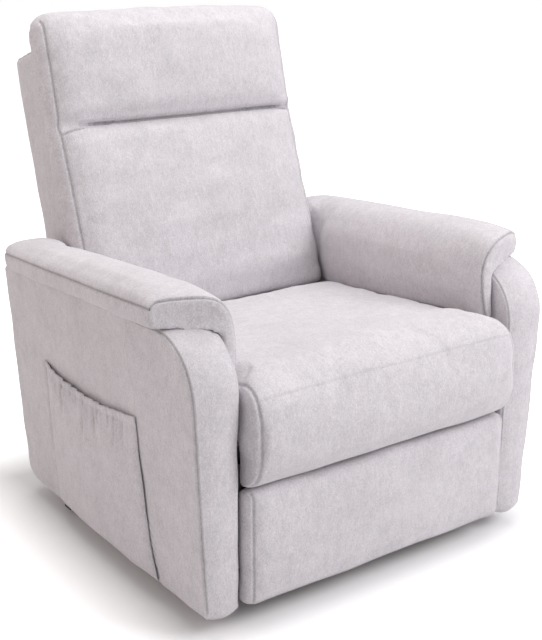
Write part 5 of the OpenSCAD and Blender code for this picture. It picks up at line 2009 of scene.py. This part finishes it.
@dataclass(frozen=True)
class Studio:
    """Pale floor, plain soft light and the camera of the photograph's view."""

    azimuth: float = -35.32
    elevation: float = 18.13
    lens: float = 65.79
    spot: tuple = (-1.3425, -1.9700, 1.1943)
    floor_half: float = 14.0
    # Box round the chair towards which the floor's camera-only glow fades out, painting a shadow there.
    footprint: tuple = (0.39, 0.39, 0.0)
    floor_tone: tuple = (0.93, 0.93, 0.935)
    floor_pale: tuple = (0.95, 0.945, 0.945)
    glow_tone: tuple = (1, 0.995, 1, 1)
    painted_shadow_reach: float = 0.22
    glow_power: float = 0.8
    world_tone: tuple = (1.0, 0.985, 0.985, 1)
    world_power: float = 0.44
    lamps: tuple = (
        ("key", (2.1, -2.9, 2.7), (0.0, 0.0, 0.5), 2.0, 93.0, (0.985, 0.98, 1.0)),
        ("top", (0.2, 0.2, 3.4), (0.0, 0.0, 0.4), 2.6, 55.0, (1.0, 0.99, 0.99)),
        ("fill", (-2.9, 0.9, 1.5), (-0.3, 0.0, 0.3), 1.2, 13.0, (1.0, 0.80, 0.70)))

    def camera(self) -> None:
        """Places the camera."""
        a, e = math.radians(self.azimuth), math.radians(self.elevation)
        back = Vector((math.sin(a) * math.cos(e), -math.cos(a) * math.cos(e), math.sin(e)))
        data = bpy.data.cameras.new("camera")
        data.lens, data.sensor_width = self.lens, 36.0
        obj = bpy.data.objects.new("camera", data)
        obj.location = self.spot
        obj.rotation_mode = "QUATERNION"
        obj.rotation_quaternion = (-back).to_track_quat("-Z", "Y")
        bpy.context.scene.collection.objects.link(obj)
        bpy.context.scene.camera = obj

    def floor(self) -> None:
        """Pale floor that keeps the chair's shadow and reads white to the camera; its camera-only glow
        fades out towards the chair, which adds a painted shadow round it.
        """
        mesh = bpy.data.meshes.new("floor")
        h = self.floor_half
        mesh.from_pydata([(-h, -h, 0), (h, -h, 0), (h, h, 0), (-h, h, 0)], [], [(0, 1, 2, 3)])
        floor = bpy.data.objects.new("floor", mesh)
        bpy.context.scene.collection.objects.link(floor)
        made = bpy.data.materials.new("studio_floor")
        made.use_nodes = True
        made.node_tree.nodes.clear()
        n = Nodes(made.node_tree)
        where = n.where()
        colour = n.tint(linear(self.floor_tone), linear(self.floor_pale),
                        n.noise(where, 0.8, 3.0))
        matte = n.add("ShaderNodeBsdfDiffuse", {"Color": colour})
        # Painted shadow: the camera-only glow is nothing over the chair's footprint and rises to full
        # within its reach, so the floor reads darker round the chair.
        past = n.vector("SUBTRACT", n.vector("ABSOLUTE", where), self.footprint)
        past = n.vector("MAXIMUM", past)
        far = n.add("ShaderNodeVectorMath", {0: past}, operation="LENGTH").outputs["Value"]
        lift = n.spread(far, 0.0, self.painted_shadow_reach, 0.0, self.glow_power)
        glow = n.add("ShaderNodeEmission", {"Color": self.glow_tone,
                                            "Strength": n.math("MULTIPLY", n.eye(), lift)})
        both = n.add("ShaderNodeAddShader", {0: matte.outputs[0], 1: glow.outputs[0]})
        n.add("ShaderNodeOutputMaterial", {"Surface": both.outputs[0]})
        mesh.materials.append(made)

    def world(self) -> None:
        """Even pale surroundings that read white to the camera."""
        world = bpy.context.scene.world or bpy.data.worlds.new("world")
        bpy.context.scene.world = world
        world.use_nodes = True
        world.node_tree.nodes.clear()
        n = Nodes(world.node_tree)
        light = n.add("ShaderNodeBackground", {"Color": self.world_tone,
                                               "Strength": self.world_power})
        white = n.add("ShaderNodeBackground", {"Color": (1, 1, 1, 1), "Strength": 1.0})
        pick = n.add("ShaderNodeMixShader",
                     {0: n.eye(), 1: light.outputs[0], 2: white.outputs[0]})
        n.add("ShaderNodeOutputWorld", {"Surface": pick.outputs[0]})

    def lamp(self, name: str, spot: tuple, aim: tuple, size: float, power: float,
             tone: tuple) -> None:
        """One square soft light.

        Args:
            name: Name of the lamp.
            spot: Its place in metres.
            aim: The point that it faces.
            size: Side of its square in metres.
            power: Its power in watts.
            tone: Its colour.
        """
        data = bpy.data.lights.new(name, "AREA")
        data.shape, data.size, data.energy, data.color = "SQUARE", size, power, tone
        obj = bpy.data.objects.new(name, data)
        obj.location = spot
        obj.rotation_mode = "QUATERNION"
        obj.rotation_quaternion = (Vector(aim) - Vector(spot)).to_track_quat("-Z", "Y")
        bpy.context.scene.collection.objects.link(obj)

    def build(self) -> None:
        """Sets up the whole studio."""
        self.camera()
        self.floor()
        self.world()
        for lamp in self.lamps:
            self.lamp(*lamp)
        settings = bpy.context.scene.view_settings
        settings.view_transform = "Standard"
        LOG.info("studio ready")


def upholster(kit: Kit) -> None:
    """Builds every upholstered piece.

    Args:
        kit: What every sub-assembly works with.
    """
    down = (1.0, 0.38, 0.38)
    over = (0.38, 1.0, 0.38)
    lean = kit.sizes.back_lean
    SeatCushion(kit, "seat_pad", "seat_cushion", "carriage",
                Chenille("chenille_seat", along=down), fill=0.75, seed=3).build()
    BackCushion(kit, "back_pad", "back_cushion", "back",
                Chenille("chenille_back", along=down, lean=lean), fill=0.8, seed=5).build()
    BackShell(kit, "back_shell_cloth", "back_shell", "back",
              Chenille("chenille_shell", lean=lean), fill=0.9, smooth=4,
              voxel=8.0, uneven=0.8, seed=8).build()
    arms = {}
    for side in Side:
        word = side.name.lower()
        arms[side] = ArmCover(kit, "arm_cloth_" + word, "arm_cover_" + word, "carriage",
                              Chenille("chenille_arm_" + word), fill=0.95, seed=11,
                              side=side).build()
        ArmPad(kit, "arm_rest_" + word, "arm_pad_" + word, "carriage",
               Chenille("chenille_rest_" + word, along=over), fill=0.7, voxel=6.0, puff=16.0,
               uneven=0.7, seed=13 + side.value, side=side).build()
    FootrestPad(kit, "footrest_cloth", "footrest_pad", "footrest",
                Chenille("chenille_footrest", along=down), fill=0.6, puff=14.0, uneven=0.7,
                seed=17).build()
    RearValance(kit, "valance_cloth", "rear_valance", "carriage",
                Chenille("chenille_valance"), fill=0.9, seed=19).build()
    SidePocket(kit, Chenille("chenille_pocket"), arms[Side.LEFT]).build()


def main() -> None:
    """Builds the scene in order."""
    logging.basicConfig(level=logging.INFO, format="%(name)s: %(message)s")
    Studio().build()
    kit = Kit()
    InnerWorks(kit).build()
    upholster(kit)


if __name__ == "__main__":
    main()
